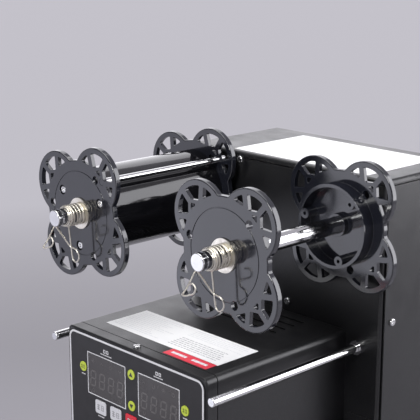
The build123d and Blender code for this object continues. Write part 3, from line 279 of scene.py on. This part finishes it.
def printed_film():
    """Matt membrane film with a pebbled surface."""
    f = Finish("printed_film", (0.017, 0.016, 0.018), 0.42, Specular_IOR_Level=0.4)
    f.rough(f.noise(9 * MM, 4.0), 0.3, 0.7, 0.36, 0.46)
    f.tint(f.between(f.noise(45 * MM, 3.0), 0.35, 0.7, 0.0, 0.6), (0.013, 0.013, 0.015))
    f.bump(f.noise(0.35 * MM, 1.0), 0.02 * MM, 0.3, 0.2 * MM)
    return f.material


def moulding(name, colour, roughness, speckle, grain=0.5 * MM):
    """Plain plastic, rubber or ink: fine grain and slow colour change towards a second colour."""
    f = Finish(name, colour, roughness)
    f.rough(f.noise(6 * MM, 4.0), 0.3, 0.7, roughness - 0.06, roughness + 0.06)
    f.tint(f.between(f.noise(16 * MM, 5.0), 0.35, 0.7, 0.0, 0.7), speckle)
    f.bump(f.noise(grain, 2.0), 0.03 * MM, 0.3, 0.25 * MM)
    return f.material


def smoked_window():
    """Tinted display window behind the film: glossier and a touch warmer than the print."""
    f = Finish("smoked_window", (0.055, 0.050, 0.051), 0.24, Specular_IOR_Level=0.4)
    f.rough(f.noise(7 * MM, 4.0), 0.3, 0.7, 0.20, 0.30)
    f.tint(f.between(f.noise(25 * MM, 3.0), 0.35, 0.7, 0.0, 0.8), (0.052, 0.048, 0.050))
    f.bump(f.noise(0.4 * MM, 1.0), 0.01 * MM, 0.2)
    return f.material


def label_paper():
    """Coated white label with paper tooth and a faint ripple."""
    f = Finish("label_paper", (0.86, 0.86, 0.865), 0.5)
    f.rough(f.noise(10 * MM, 3.0), 0.3, 0.7, 0.42, 0.58)
    f.tint(f.between(f.noise(30 * MM, 4.0), 0.4, 0.7, 0.0, 0.6), (0.80, 0.80, 0.81))
    f.bump(f.noise(14 * MM, 2.0), 0.08 * MM, 0.25)
    return f.material


MATERIALS = {
    "case_paint": powder_coat(),
    "zinc_steel": zinc_plate(),
    "tray_steel": sheet_steel("brushed_tray", (0.60, 0.60, 0.61), 0.30, (1, 30, 1)),
    "bright_steel": polished("bright_chrome", (0.78, 0.78, 0.78), 0.10, (1, 25, 1)),
    "nickel_wire": polished("warm_nickel", (0.86, 0.82, 0.73), 0.34, soften=None),
    "screw_metal": polished("screw_nickel", (0.68, 0.68, 0.68), 0.22),
    "flange_plastic": flange_moulding(),
    "drum_plastic": drum_gloss(),
    "overlay": printed_film(),
    "key_green": moulding("key_yellow_green", (0.56, 0.66, 0.06), 0.42, (0.50, 0.61, 0.05)),
    "key_white": moulding("key_pale", (0.68, 0.68, 0.71), 0.42, (0.61, 0.61, 0.65)),
    "key_red": moulding("key_crimson", (0.72, 0.022, 0.045), 0.40, (0.62, 0.018, 0.035)),
    "board": moulding("solder_mask", (0.012, 0.09, 0.04), 0.35, (0.02, 0.12, 0.05)),
    "motor_steel": sheet_steel("motor_can", (0.42, 0.42, 0.43), 0.34, (1, 12, 1)),
    "bush_bronze": polished("turned_bronze", (0.55, 0.40, 0.21), 0.28),
    "cast_aluminium": sheet_steel("turned_aluminium", (0.66, 0.66, 0.67), 0.36, (6, 6, 1)),
    "black_plastic": moulding("black_moulding", (0.014, 0.014, 0.015), 0.45, (0.022, 0.022, 0.023)),
    "rubber_black": moulding("foot_rubber", (0.018, 0.018, 0.018), 0.75, (0.03, 0.03, 0.029), 1.2 * MM),
}
INK_WHITE = moulding("ink_white", (0.74, 0.74, 0.76), 0.5, (0.66, 0.66, 0.69))
INK_DARK = moulding("ink_dark", (0.03, 0.03, 0.032), 0.5, (0.05, 0.05, 0.05))
INK_GREY = moulding("ink_grey", (0.40, 0.40, 0.42), 0.55, (0.48, 0.48, 0.50))
INK_FAINT = moulding("ink_faint", (0.70, 0.71, 0.73), 0.55, (0.64, 0.65, 0.67))
INK_RED = moulding("ink_red", (0.72, 0.045, 0.075), 0.42, (0.66, 0.035, 0.06))
INK_MOSS = moulding("ink_moss", (0.20, 0.24, 0.03), 0.5, (0.16, 0.20, 0.025))
GHOST = moulding("ghost_segments", (0.105, 0.098, 0.098), 0.30, (0.12, 0.11, 0.11))
WINDOW = smoked_window()
PAPER = label_paper()

for part in frame["record"]["subparts"]:
    node = frame["nodes"][part["node"]]
    node.data.materials.clear()
    node.data.materials.append(MATERIALS[part["material_slot"]])


# ---- Mesh helpers -------------------------------------------------------------------------------
def link_mesh(name, bm, material, body, smooth=False):
    bmesh.ops.recalc_face_normals(bm, faces=bm.faces)
    mesh = bpy.data.meshes.new(name)
    bm.to_mesh(mesh)
    bm.free()
    for face in mesh.polygons:
        face.use_smooth = smooth
    mesh.materials.append(material)
    piece = bpy.data.objects.new(name, mesh)
    bpy.context.scene.collection.objects.link(piece)
    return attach(piece, body)


def arc(middle, radius, start, end, steps=8):
    """Points on an arc between two angles in degrees."""
    angles = [radians(start + (end - start) * i / steps) for i in range(steps + 1)]
    return [(middle[0] + radius * cos(a), middle[1] + radius * sin(a)) for a in angles]


def rounded_rectangle(middle, size, corner):
    u, v = middle
    half_u, half_v = size[0] / 2 - corner, size[1] / 2 - corner
    outline = []
    for quarter, (su, sv) in enumerate(((1, 1), (-1, 1), (-1, -1), (1, -1))):
        outline += arc((u + su * half_u, v + sv * half_v), corner, 90 * quarter, 90 * quarter + 90, 6)
    return outline


def circle(middle, radius, steps=28):
    return arc(middle, radius, 0, 360 - 360 / steps, steps - 1)


def bar(a, b, width):
    """A straight stroke with square ends."""
    along = Vector(b) - Vector(a)
    side = Vector((-along.y, along.x)).normalized() * width / 2
    return [tuple(Vector(a) + side), tuple(Vector(a) - side), tuple(Vector(b) - side),
            tuple(Vector(b) + side)]


def front_place(u, v, height):
    """Across from the head's middle and up from its top, on the panel's front."""
    return Vector((HEAD_X + u * MM, PANEL_FRONT - height, HEAD_TOP + v * MM))


def head_top_place(u, v, height):
    """Across from the head's middle and back from its front plane, on its top."""
    return Vector((HEAD_X + u * MM, HEAD_FRONT + v * MM, HEAD_TOP + height))


def lid_place(u, v, height):
    return Vector((HEAD_X + u * MM, HEAD_FRONT + v * MM, LID_HIGH.z + height))


def print_marks(name, shapes, place, base, thickness, material, body):
    """Raised printing: each shape is an outline, or an (outer, inner) pair of outlines."""
    bm = bmesh.new()
    for shape in shapes:
        if isinstance(shape, tuple):
            raise_ring(bm, shape, place, base, thickness)
        else:
            raise_outline(bm, shape, place, base, thickness)
    return link_mesh(name, bm, material, body)


def raise_outline(bm, outline, place, base, thickness):
    low = [bm.verts.new(place(u, v, base)) for u, v in outline]
    high = [bm.verts.new(place(u, v, base + thickness)) for u, v in outline]
    bm.faces.new(high)
    bm.faces.new(low[::-1])
    for i in range(len(outline)):
        j = (i + 1) % len(outline)
        bm.faces.new((low[i], low[j], high[j], high[i]))


def raise_ring(bm, pair, place, base, thickness):
    loops = [[bm.verts.new(place(u, v, h)) for u, v in outline]
             for outline in pair for h in (base, base + thickness)]
    outer_low, outer_high, inner_low, inner_high = loops
    for a, b in ((outer_low, outer_high), (outer_high, inner_high), (inner_high, inner_low),
                 (inner_low, outer_low)):
        for i in range(len(a)):
            j = (i + 1) % len(a)
            bm.faces.new((a[i], a[j], b[j], b[i]))


# ---- Panel printing -----------------------------------------------------------------------------
DISPLAY = (52.0, 38.6)
DISPLAYS = {"left": (-36.4, -37.5), "right": (33.1, -37.5)}
DIGIT = (8.2, 15.2)
DIGIT_PITCH = 12.4
DIGIT_ROW = -4.0            # below the middle of the display
SEGMENT = 1.5
SLANT = 0.10
BORDER_INSET = 0.9          # from the overlay's edge
BORDER = 1.9
BORDER_CORNER = 8.5


def border_outlines():
    low, high = PANEL_LOW, PANEL_HIGH
    width, height = (high.x - low.x) / MM, (high.z - low.z) / MM
    middle = (((low.x + high.x) / 2 - HEAD_X) / MM, ((low.z + high.z) / 2 - HEAD_TOP) / MM)
    rings = []
    for inset in (BORDER_INSET, BORDER_INSET + BORDER):
        rings.append(rounded_rectangle(middle, (width - 2 * inset, height - 2 * inset),
                                       BORDER_CORNER - inset))
    return tuple(rings)


def frame_outlines(middle, size, line):
    outer = rounded_rectangle(middle, (size[0] + line, size[1] + line), 0.8)
    inner = rounded_rectangle(middle, (size[0] - line, size[1] - line), 0.3)
    return outer, inner


def segment(a, b, digit_middle):
    """One bar of a digit with pointed ends, leaned with the digit."""
    along = (Vector(b) - Vector(a)).normalized()
    side = Vector((-along.y, along.x)) * SEGMENT / 2
    gap = along * SEGMENT * 0.16
    start, end = Vector(a) + gap, Vector(b) - gap
    inner_start, inner_end = start + along * SEGMENT / 2, end - along * SEGMENT / 2
    points = [start, inner_start - side, inner_end - side, end, inner_end + side, inner_start + side]
    u, v = digit_middle
    return [(u + p.x + SLANT * p.y, v + p.y) for p in points]


def digit_outlines(middle):
    w, h = DIGIT[0] / 2 - SEGMENT / 2, DIGIT[1] / 2 - SEGMENT / 2
    strokes = [((-w, h), (w, h)), ((-w, 0), (w, 0)), ((-w, -h), (w, -h)), ((-w, 0), (-w, h)),
               ((w, 0), (w, h)), ((-w, -h), (-w, 0)), ((w, -h), (w, 0))]
    return [segment(a, b, middle) for a, b in strokes]


def star_marks(middle, radius, arms):
    shapes = [circle(middle, 0.34 * radius, 12)]
    for arm in range(arms):
        a = 2 * pi * arm / arms
        near = (middle[0] + 0.55 * radius * cos(a), middle[1] + 0.55 * radius * sin(a))
        far = (middle[0] + radius * cos(a), middle[1] + radius * sin(a))
        shapes.append(bar(near, far, 0.45))
    return shapes


def chevron_marks(middle, size, turn):
    u, v = middle
    return [bar((u - size, v - turn * size / 2), (u, v + turn * size / 2), 0.5),
            bar((u, v + turn * size / 2), (u + size, v - turn * size / 2), 0.5)]


def ring_mark(middle, radius):
    return [(circle(middle, radius, 20), circle(middle, radius - 0.5, 20))]


def cup_mark(middle, size):
    u, v = middle
    return [bar((u - size, v + size), (u - 0.6 * size, v - size), 0.5),
            bar((u + size, v + size), (u + 0.6 * size, v - size), 0.5),
            bar((u - 0.6 * size, v - size), (u + 0.6 * size, v - size), 0.5)]


def display(side):
    u, v = DISPLAYS[side]
    window = rounded_rectangle((u, v), (DISPLAY[0] - 0.4, DISPLAY[1] - 0.4), 0.5)
    print_marks(f"display_window_{side}", [window], front_place, 0, 0.5 * PRINT, WINDOW, "frame")
    print_marks(f"display_frame_{side}", [frame_outlines((u, v), DISPLAY, 0.9)], front_place, 0, PRINT,
                INK_WHITE, "frame")
    columns = [u + DIGIT_PITCH * (i - 1.5) for i in range(4)]
    digits = [outline for x in columns for outline in digit_outlines((x, v + DIGIT_ROW))]
    print_marks(f"display_digits_{side}", digits, front_place, 0.5 * PRINT, 0.3 * PRINT, GHOST, "frame")
    row = v + DISPLAY[1] / 2 - 6.8
    if side == "left":
        marks = star_marks((columns[0], row), 2.2, 6) + chevron_marks((columns[1], row), 1.8, 1)
        marks += ring_mark((columns[2], row), 1.7) + chevron_marks((columns[3], row), 1.8, -1)
        marks += ring_mark((u - 18.5, v - 15.2), 1.6) + cup_mark((u + 18.5, v - 15.2), 1.5)
    else:
        marks = chevron_marks((columns[0], row), 1.8, 1) + cup_mark((columns[1], row), 1.7)
        marks += star_marks((columns[2], row), 2.2, 8) + ring_mark((columns[3], row), 1.8)
        marks += cup_mark((u - 18.5, v - 15.2), 1.5)
    print_marks(f"display_symbols_{side}", marks, front_place, 0.5 * PRINT, 0.3 * PRINT, GHOST, "frame")


def dash_row(middle, width, height, count):
    """A short run of blocks of uneven length that stands for a caption."""
    u, v = middle
    shares = [random.uniform(0.6, 1.4) for _ in range(count)]
    scale = (width - 0.35 * (count - 1)) / sum(shares)
    start = u - width / 2
    shapes = []
    for share in shares:
        end = start + share * scale
        shapes.append(bar((start, v), (end, v), height))
        start = end + 0.35
    return shapes


def captions():
    """Generic titles above the displays and short captions below the keys."""
    shapes = []
    for (u, v), kind in ((DISPLAYS["left"], 0), (DISPLAYS["right"], 1)):
        top = v + DISPLAY[1] / 2
        for offset in (-2.0, 2.0):
            block = rounded_rectangle((u + offset, top + 6.2), (3.0, 3.2), 0.3)
            hole = rounded_rectangle((u + offset, top + 6.2), (1.5, 1.4 if kind else 1.8), 0.2)
            shapes.append((block, hole))
        shapes += dash_row((u, top + 3.0), 11.5 if kind else 15.0, 0.9, 5)
    for key in ("key_set", "key_clear"):
        place = centre(key)
        u, v = (place.x - HEAD_X) / MM, (place.z - HEAD_TOP) / MM
        shapes += dash_row((u, v - 7.0), 5.5, 0.9, 2)
    for key in ("key_manual", "key_auto", "key_stop", "key_film", "key_count"):
        place = centre(key)
        u, v = (place.x - HEAD_X) / MM, (place.z - HEAD_TOP) / MM
        shapes += dash_row((u, v - 8.6), 8.5, 1.0, 3)
    print_marks("panel_captions", shapes, front_place, 0, PRINT, INK_WHITE, "frame")


def key_place(key):
    low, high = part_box(key)
    middle = (low + high) / 2
    return lambda u, v, height: Vector((middle.x + u * MM, low.y - height, middle.z + v * MM))


def key_symbols():
    """Printed marks that ride on their keys."""
    triangle = [(0.0, 2.3), (-2.4, -1.7), (2.4, -1.7)]
    glyphs = [bar((-2.6, 0.9), (-0.4, 0.9), 0.7), bar((-2.6, -0.9), (-0.4, -0.9), 0.7),
              bar((-1.5, 1.8), (-1.5, -1.8), 0.6)]
    glyphs += [(rounded_rectangle((1.6, 0), (2.4, 3.4), 0.3), rounded_rectangle((1.6, 0), (1.2, 2.2), 0.2))]
    wide = [bar((-4.6, 1.8), (-1.0, 1.8), 0.9), bar((-4.6, 0.0), (-1.0, 0.0), 0.9),
            bar((-4.6, -1.8), (-1.0, -1.8), 0.9), bar((-2.8, 2.8), (-2.8, -2.8), 0.8),
            (rounded_rectangle((2.8, 0), (3.8, 5.2), 0.4), rounded_rectangle((2.8, 0), (2.2, 3.4), 0.3)),
            bar((1.4, 0), (4.2, 0), 0.8)]
    marks = {"key_up": ([triangle], INK_DARK), "key_down": ([[(-u, -v) for u, v in triangle]], INK_DARK),
             "key_set": (glyphs, INK_MOSS), "key_clear": (glyphs, INK_MOSS),
             "key_manual": (wide, INK_GREY), "key_auto": (wide, INK_GREY),
             "key_stop": (wide, INK_WHITE), "key_film": (wide, INK_GREY), "key_count": (wide, INK_GREY)}
    for key, (shapes, ink) in marks.items():
        print_marks(f"{key}_mark", shapes, key_place(key), 0, PRINT, ink, f"{key}_body")


print_marks("panel_border", [border_outlines()], front_place, 0, PRINT, INK_WHITE, "frame")
display("left")
display("right")
captions()
key_symbols()


# ---- Labels and the lid's white sheet -----------------------------------------------------------
def text_lines(u_span, v_span, pitch, height, fill=0.8):
    """Rows of short dashes that stand for small print."""
    shapes = []
    v = v_span[1]
    while v > v_span[0]:
        u = u_span[0]
        end = u_span[0] + (u_span[1] - u_span[0]) * random.uniform(fill, 1.0)
        while u < end - 1.5:
            stop = min(u + random.uniform(1.6, 6.0), end)
            shapes.append(bar((u, v), (stop, v), height))
            u = stop + 0.9
        v -= pitch
    return shapes


def table_lines(u_span, v_span, columns, rows):
    lines = []
    for i in range(columns + 1):
        u = u_span[0] + (u_span[1] - u_span[0]) * i / columns
        lines.append(bar((u, v_span[0]), (u, v_span[1]), 0.22))
    for i in range(rows + 1):
        v = v_span[0] + (v_span[1] - v_span[0]) * i / rows
        lines.append(bar((u_span[0], v), (u_span[1], v), 0.22))
    return lines


def head_label():
    """Instruction label with a red strip on the head's top."""
    paper = rounded_rectangle((2.5, 51.0), (145.0, 48.0), 0.6)
    print_marks("instruction_label", [paper], head_top_place, 0, LABEL, PAPER, "frame")
    text = text_lines((-66.0, -2.0), (32.0, 70.0), 3.3, 0.8, 0.6)
    text += text_lines((4.0, 71.0), (56.0, 71.0), 3.1, 0.8, 0.7)
    print_marks("instruction_text", text, head_top_place, LABEL, 0.4 * PRINT, INK_FAINT, "frame")
    rows = text_lines((6.0, 69.0), (32.0, 51.0), 3.4, 1.2, 0.85)
    print_marks("instruction_table", rows, head_top_place, LABEL, 0.4 * PRINT, INK_GREY, "frame")
    strip = rounded_rectangle((47.5, 21.0), (53.0, 13.0), 0.6)
    print_marks("notice_strip", [strip], head_top_place, 0, LABEL, INK_RED, "frame")
    words = dash_row((35.0, 21.0), 18.0, 3.4, 5) + dash_row((60.0, 21.0), 18.0, 3.4, 4)
    print_marks("notice_marks", words, head_top_place, LABEL, 0.5 * PRINT, INK_WHITE, "frame")


def lid_white_sheet():
    """Large white sheet on the cabinet's lid with very pale print."""
    paper = rounded_rectangle((23.5, 225.0), (163.0, 97.0), 0.8)
    print_marks("lid_white_sheet", [paper], lid_place, 0, LABEL, PAPER, "frame")
    text = text_lines((-50.0, 96.0), (184.0, 264.0), 4.6, 1.0, 0.7)
    print_marks("lid_text", text, lid_place, LABEL, 0.4 * PRINT, INK_FAINT, "frame")
    print_marks("lid_dot", [circle((-9.0, 210.0), 0.9)], lid_place, LABEL, 0.5 * PRINT, INK_DARK, "frame")


head_label()
lid_white_sheet()


# ---- Wire springs and clips ---------------------------------------------------------------------
WIRE = 0.75 * MM
CLIP_RADIUS = 8.4 * MM


def tube(name, points, radius, material, body, sides=12):
    """Round wire through the points, with domed ends, as a closed mesh."""
    bm = bmesh.new()
    rings = []
    direction = (points[1] - points[0]).normalized()
    side = direction.orthogonal().normalized()
    for i, point in enumerate(points):
        ahead = points[min(i + 1, len(points) - 1)] - points[max(i - 1, 0)]
        turned = ahead.normalized()
        side = (side - turned * side.dot(turned)).normalized()
        up = turned.cross(side)
        ring = [bm.verts.new(point + (side * cos(2 * pi * k / sides) + up * sin(2 * pi * k / sides)) * radius)
                for k in range(sides)]
        rings.append(ring)
    for a, b in zip(rings, rings[1:]):
        for k in range(sides):
            bm.faces.new((a[k], a[(k + 1) % sides], b[(k + 1) % sides], b[k]))
    for ring, tip, inner in ((rings[0], points[0], points[1]), (rings[-1], points[-1], points[-2])):
        apex = bm.verts.new(tip + (tip - inner).normalized() * radius * 0.5)
        for k in range(sides):
            bm.faces.new((ring[k], ring[(k + 1) % sides], apex))
    return link_mesh(name, bm, material, body, True)


def smooth_path(points, steps=6):
    """Catmull-Rom curve through the given points."""
    padded = [points[0] * 2 - points[1], *points, points[-1] * 2 - points[-2]]
    path = []
    for a, b, c, d in zip(padded, padded[1:], padded[2:], padded[3:]):
        for i in range(steps):
            t = i / steps
            path.append(0.5 * (2 * b + (c - a) * t + (2 * a - 5 * b + 4 * c - d) * t * t
                               + (3 * b - a - 3 * c + d) * t ** 3))
    return path + [points[-1]]


def helix(axis_x, axis_z, radius, levels, start, turns, steps=28):
    """Points on a coil about a Y axis; levels gives the share of the length for each share of turn."""
    count = int(steps * abs(turns))
    points = []
    for i in range(count + 1):
        share = i / count
        angle = start + 2 * pi * turns * share
        points.append(Vector((axis_x + radius * cos(angle), levels(share), axis_z + radius * sin(angle))))
    return points


def compression_spring(side):
    """Spring with closed end coils between the washer and the clip."""
    low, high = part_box(f"{side}_spring")
    axis = centre(f"{side}_washer")
    back, front = high.y - WIRE, low.y + WIRE
    radius = (high.z - low.z) / 2 - WIRE
    closed = 0.17

    def levels(share):
        if share < closed:
            return back - share / closed * WIRE
        if share > 1 - closed:
            return front + (1 - share) / closed * WIRE
        middle = (share - closed) / (1 - 2 * closed)
        return back - WIRE + middle * (front - back + 2 * WIRE)

    points = helix(axis.x, axis.z, radius, levels, 0.4, 5.5)
    piece = tube(f"{side}_coil_spring", points, 0.85 * WIRE, MATERIALS["nickel_wire"], f"{side}_reel")
    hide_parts(f"{side}_spring")
    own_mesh(piece)


def wrap_clip(side):
    """Clip of close coils whose two ends reach down as finger loops."""
    low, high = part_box(f"{side}_clip")
    axis = centre(f"{side}_washer")
    back = high.y - WIRE
    turns = 3
    front = back - 2.08 * WIRE * turns
    radius = CLIP_RADIUS

    def spots(places):
        """From (across, ahead of the rear coil, below the coils) in millimetres."""
        return [Vector((axis.x + x * MM, back - y * MM, axis.z - radius - drop * MM)) for x, y, drop in places]

    rear = [(-7.0, 9.4, 0.6), (-1.9, 5.6, 9.4), (3.2, 1.9, 18.2), (7.0, 0.9, 19.7), (11.0, 0.2, 21.3),
            (13.2, -0.4, 25.0), (12.4, -0.8, 29.2), (8.8, -1.0, 32.6), (5.2, -1.0, 32.4), (3.2, -0.9, 29.0),
            (2.2, -0.6, 20.0), (1.1, -0.3, 10.0), (0.2, 0.0, 2.0)]
    ahead = (back - front) / MM
    loop = [(-3.4, 0.9, 0.0), (-7.6, 4.4, 0.4), (-9.8, 8.0, 8.0), (-12.0, 11.4, 15.4), (-13.5, 13.2, 18.8),
            (-14.4, 13.4, 20.0), (-11.9, 13.4, 20.6), (-6.6, 13.4, 18.8), (-1.6, 13.3, 16.4), (0.4, 13.1, 13.4),
            (0.0, 12.9, 10.6), (-3.4, 12.6, 9.0), (-6.6, 12.2, 10.4)]
    coils = helix(axis.x, axis.z, radius, lambda share: back - share * (back - front), -pi / 2, -turns)
    path = smooth_path(spots(rear)) + coils[:-1]
    path += smooth_path([coils[-1], *spots([(x, y + ahead, drop) for x, y, drop in loop])])
    piece = tube(f"{side}_wrap_clip", path, WIRE, MATERIALS["nickel_wire"], f"{side}_reel")
    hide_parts(f"{side}_clip")


def lift_springs():
    """Extension springs of the press, hooked to the bracket above and the carriage below."""
    low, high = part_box("return_springs")
    y = (low.y + high.y) / 2
    coil_r = (high.y - low.y) / 2 - 0.6 * MM
    wire = 0.6 * MM
    for name, x in (("left", low.x + coil_r + wire), ("right", high.x - coil_r - wire)):
        bottom, top = low.z + wire, high.z - wire
        turns = 11
        hook = 2.6 * MM
        points = [Vector((x, y, bottom))]
        for i in range(turns * 24 + 1):
            share = i / (turns * 24)
            a = 2 * pi * turns * share
            points.append(Vector((x + coil_r * cos(a), y + coil_r * sin(a),
                                  bottom + hook + share * (top - bottom - 2 * hook))))
        points.append(Vector((x, y, top)))
        piece = tube(f"lift_spring_{name}", points, wire, MATERIALS["nickel_wire"], "press", 10)
        piece.parent = None
        if name == "left":
            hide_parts("return_springs")
        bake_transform(piece)


for reel in ("supply", "take_up"):
    compression_spring(reel)
    wrap_clip(reel)
lift_springs()


# ---- Screws of the take-up flange ---------------------------------------------------------------
FLANGE_SCREW_ANGLES = (25.7, 145.7, 265.7)
FLANGE_SCREW_ORBIT = 30.5
FLANGE_SCREW_SEAT = 2.0     # bottom of the recess behind the flange's face


def socket_screw(name, at, body):
    """Button head with a six-sided socket, facing the operator."""
    sides = 24

    def ring(radius, height, corners=False):
        points = []
        for k in range(sides):
            a = 2 * pi * k / sides
            reach = radius / cos((a % (pi / 3)) - pi / 6) if corners else radius
            points.append(bm.verts.new(at + Vector((reach * cos(a), -height, reach * sin(a))) * MM))
        return points

    bm = bmesh.new()
    rings = [ring(3.7, 0.0), ring(3.7, 0.5), ring(3.45, 1.0), ring(2.9, 1.4), ring(2.3, 1.5),
             ring(1.5, 1.5, True), ring(1.5, 0.5, True)]
    for a, b in zip(rings, rings[1:]):
        for k in range(sides):
            bm.faces.new((a[k], a[(k + 1) % sides], b[(k + 1) % sides], b[k]))
    bm.faces.new(rings[0])
    bm.faces.new(rings[-1])
    return link_mesh(name, bm, MATERIALS["screw_metal"], body)


def flange_screws():
    axis = centre("take_up_washer")
    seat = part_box("take_up_washer")[1].y + FLANGE_SCREW_SEAT * MM
    for number, angle in enumerate(FLANGE_SCREW_ANGLES, 1):
        a = radians(angle)
        at = Vector((axis.x + FLANGE_SCREW_ORBIT * MM * cos(a), seat, axis.z + FLANGE_SCREW_ORBIT * MM * sin(a)))
        socket_screw(f"flange_screw_{number}", at, "take_up_front")


def bar_cap():
    """Black plug over the clamp bar's end, flush with the take-up flange."""
    bar_low, bar_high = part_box("take_up_clamp_bar")
    middle = (bar_low + bar_high) / 2
    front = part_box("take_up_washer")[1].y
    outline = circle((middle.x / MM, middle.z / MM), (bar_high.x - bar_low.x) / 2 / MM)
    print_marks("clamp_bar_cap", [outline], lambda u, v, height: Vector((u * MM, bar_low.y - height, v * MM)),
                0, 0.7 * (bar_low.y - front), MATERIALS["flange_plastic"], "take_up_front")


flange_screws()
bar_cap()


# ---- Studio -------------------------------------------------------------------------------------
SURROUND = (1.0, 0.975, 1.07)
SURROUND_LIGHT = 0.49
FLOOR_NEAR = 0.6            # from here out the floor fades into the surround
FLOOR_FAR = 2.1


def studio_floor():
    """Pale floor far wider than the object."""
    bm = bmesh.new()
    half = 30.0
    corners = [bm.verts.new((x * half, y * half, CAD_BOX[0].z)) for x, y in ((-1, -1), (1, -1), (1, 1), (-1, 1))]
    bm.faces.new(corners)
    mesh = bpy.data.meshes.new("floor")
    bm.to_mesh(mesh)
    bm.free()
    f = Finish("floor_paint", (0.27, 0.262, 0.285), 0.6)
    f.tint(f.between(f.noise(0.8, 2.0), 0.3, 0.7, 0.0, 0.5), (0.26, 0.252, 0.276))
    away = f.add("VectorMath")
    away.operation = "LENGTH"
    f.feed(away.inputs[0], f.add("TexCoord").outputs["Object"])
    far = f.between(away.outputs["Value"], FLOOR_NEAR, FLOOR_FAR)
    f.tint(far, (0, 0, 0))
    f.feed(f.shader.inputs["Emission Color"], (*SURROUND, 1))
    f.feed(f.shader.inputs["Emission Strength"], f.maths("MULTIPLY", far, SURROUND_LIGHT))
    mesh.materials.append(f.material)
    floor = bpy.data.objects.new("floor", mesh)
    bpy.context.scene.collection.objects.link(floor)


def softbox(name, place, aim, size, power, colour=(1, 1, 1)):
    data = bpy.data.lights.new(name, "AREA")
    data.shape = "RECTANGLE"
    data.size, data.size_y = size
    data.energy = power
    data.color = colour
    light = bpy.data.objects.new(name, data)
    bpy.context.scene.collection.objects.link(light)
    light.location = place
    light.rotation_mode = "QUATERNION"
    light.rotation_quaternion = (Vector(aim) - Vector(place)).to_track_quat("-Z", "Y")
    light.visible_camera = False
    return light


def studio_sky():
    """Even grey surround, dimmer towards the operator's side."""
    world = bpy.data.worlds.new("surround")
    bpy.context.scene.world = world
    world.use_nodes = True
    tree = world.node_tree
    background = tree.nodes["Background"]
    direction = tree.nodes.new("ShaderNodeTexCoord").outputs["Generated"]
    split = tree.nodes.new("ShaderNodeSeparateXYZ")
    tree.links.new(direction, split.inputs[0])
    ramp = tree.nodes.new("ShaderNodeMapRange")
    ramp.inputs["From Min"].default_value = -0.4
    ramp.inputs["From Max"].default_value = 0.5
    ramp.inputs["To Min"].default_value = 0.12
    ramp.inputs["To Max"].default_value = SURROUND_LIGHT
    tree.links.new(split.outputs["Y"], ramp.inputs["Value"])
    background.inputs["Color"].default_value = (*SURROUND, 1)
    tree.links.new(ramp.outputs["Result"], background.inputs["Strength"])


TARGET = Vector((HEAD_X, HEAD_FRONT, HEAD_TOP + 0.1))
studio_floor()
studio_sky()
softbox("softbox_top", TARGET + Vector((-0.2, 0.1, 1.6)), TARGET, (1.6, 1.6), 26.0)
softbox("softbox_right", TARGET + Vector((1.2, 1.25, 0.42)), TARGET, (1.6, 1.5), 27.0, (0.96, 0.96, 1.0))
softbox("softbox_back_left", TARGET + Vector((-0.65, 0.62, 0.22)), TARGET, (0.9, 0.8), 2.6, (0.97, 0.97, 1.0))
softbox("softbox_left", TARGET + Vector((-0.50, -0.58, -0.25)), TARGET, (0.34, 0.44), 0.45, (0.86, 0.88, 1.0))
softbox("softbox_far_left", TARGET + Vector((-0.87, -0.58, -0.25)), TARGET, (0.34, 0.44), 0.18, (0.78, 0.81, 1.0))
softbox("softbox_front", TARGET + Vector((0.5, -1.5, 0.9)), TARGET, (0.6, 0.6), 22.0)
bpy.context.scene.view_settings.view_transform = "Standard"
bpy.context.scene.view_settings.look = "None"
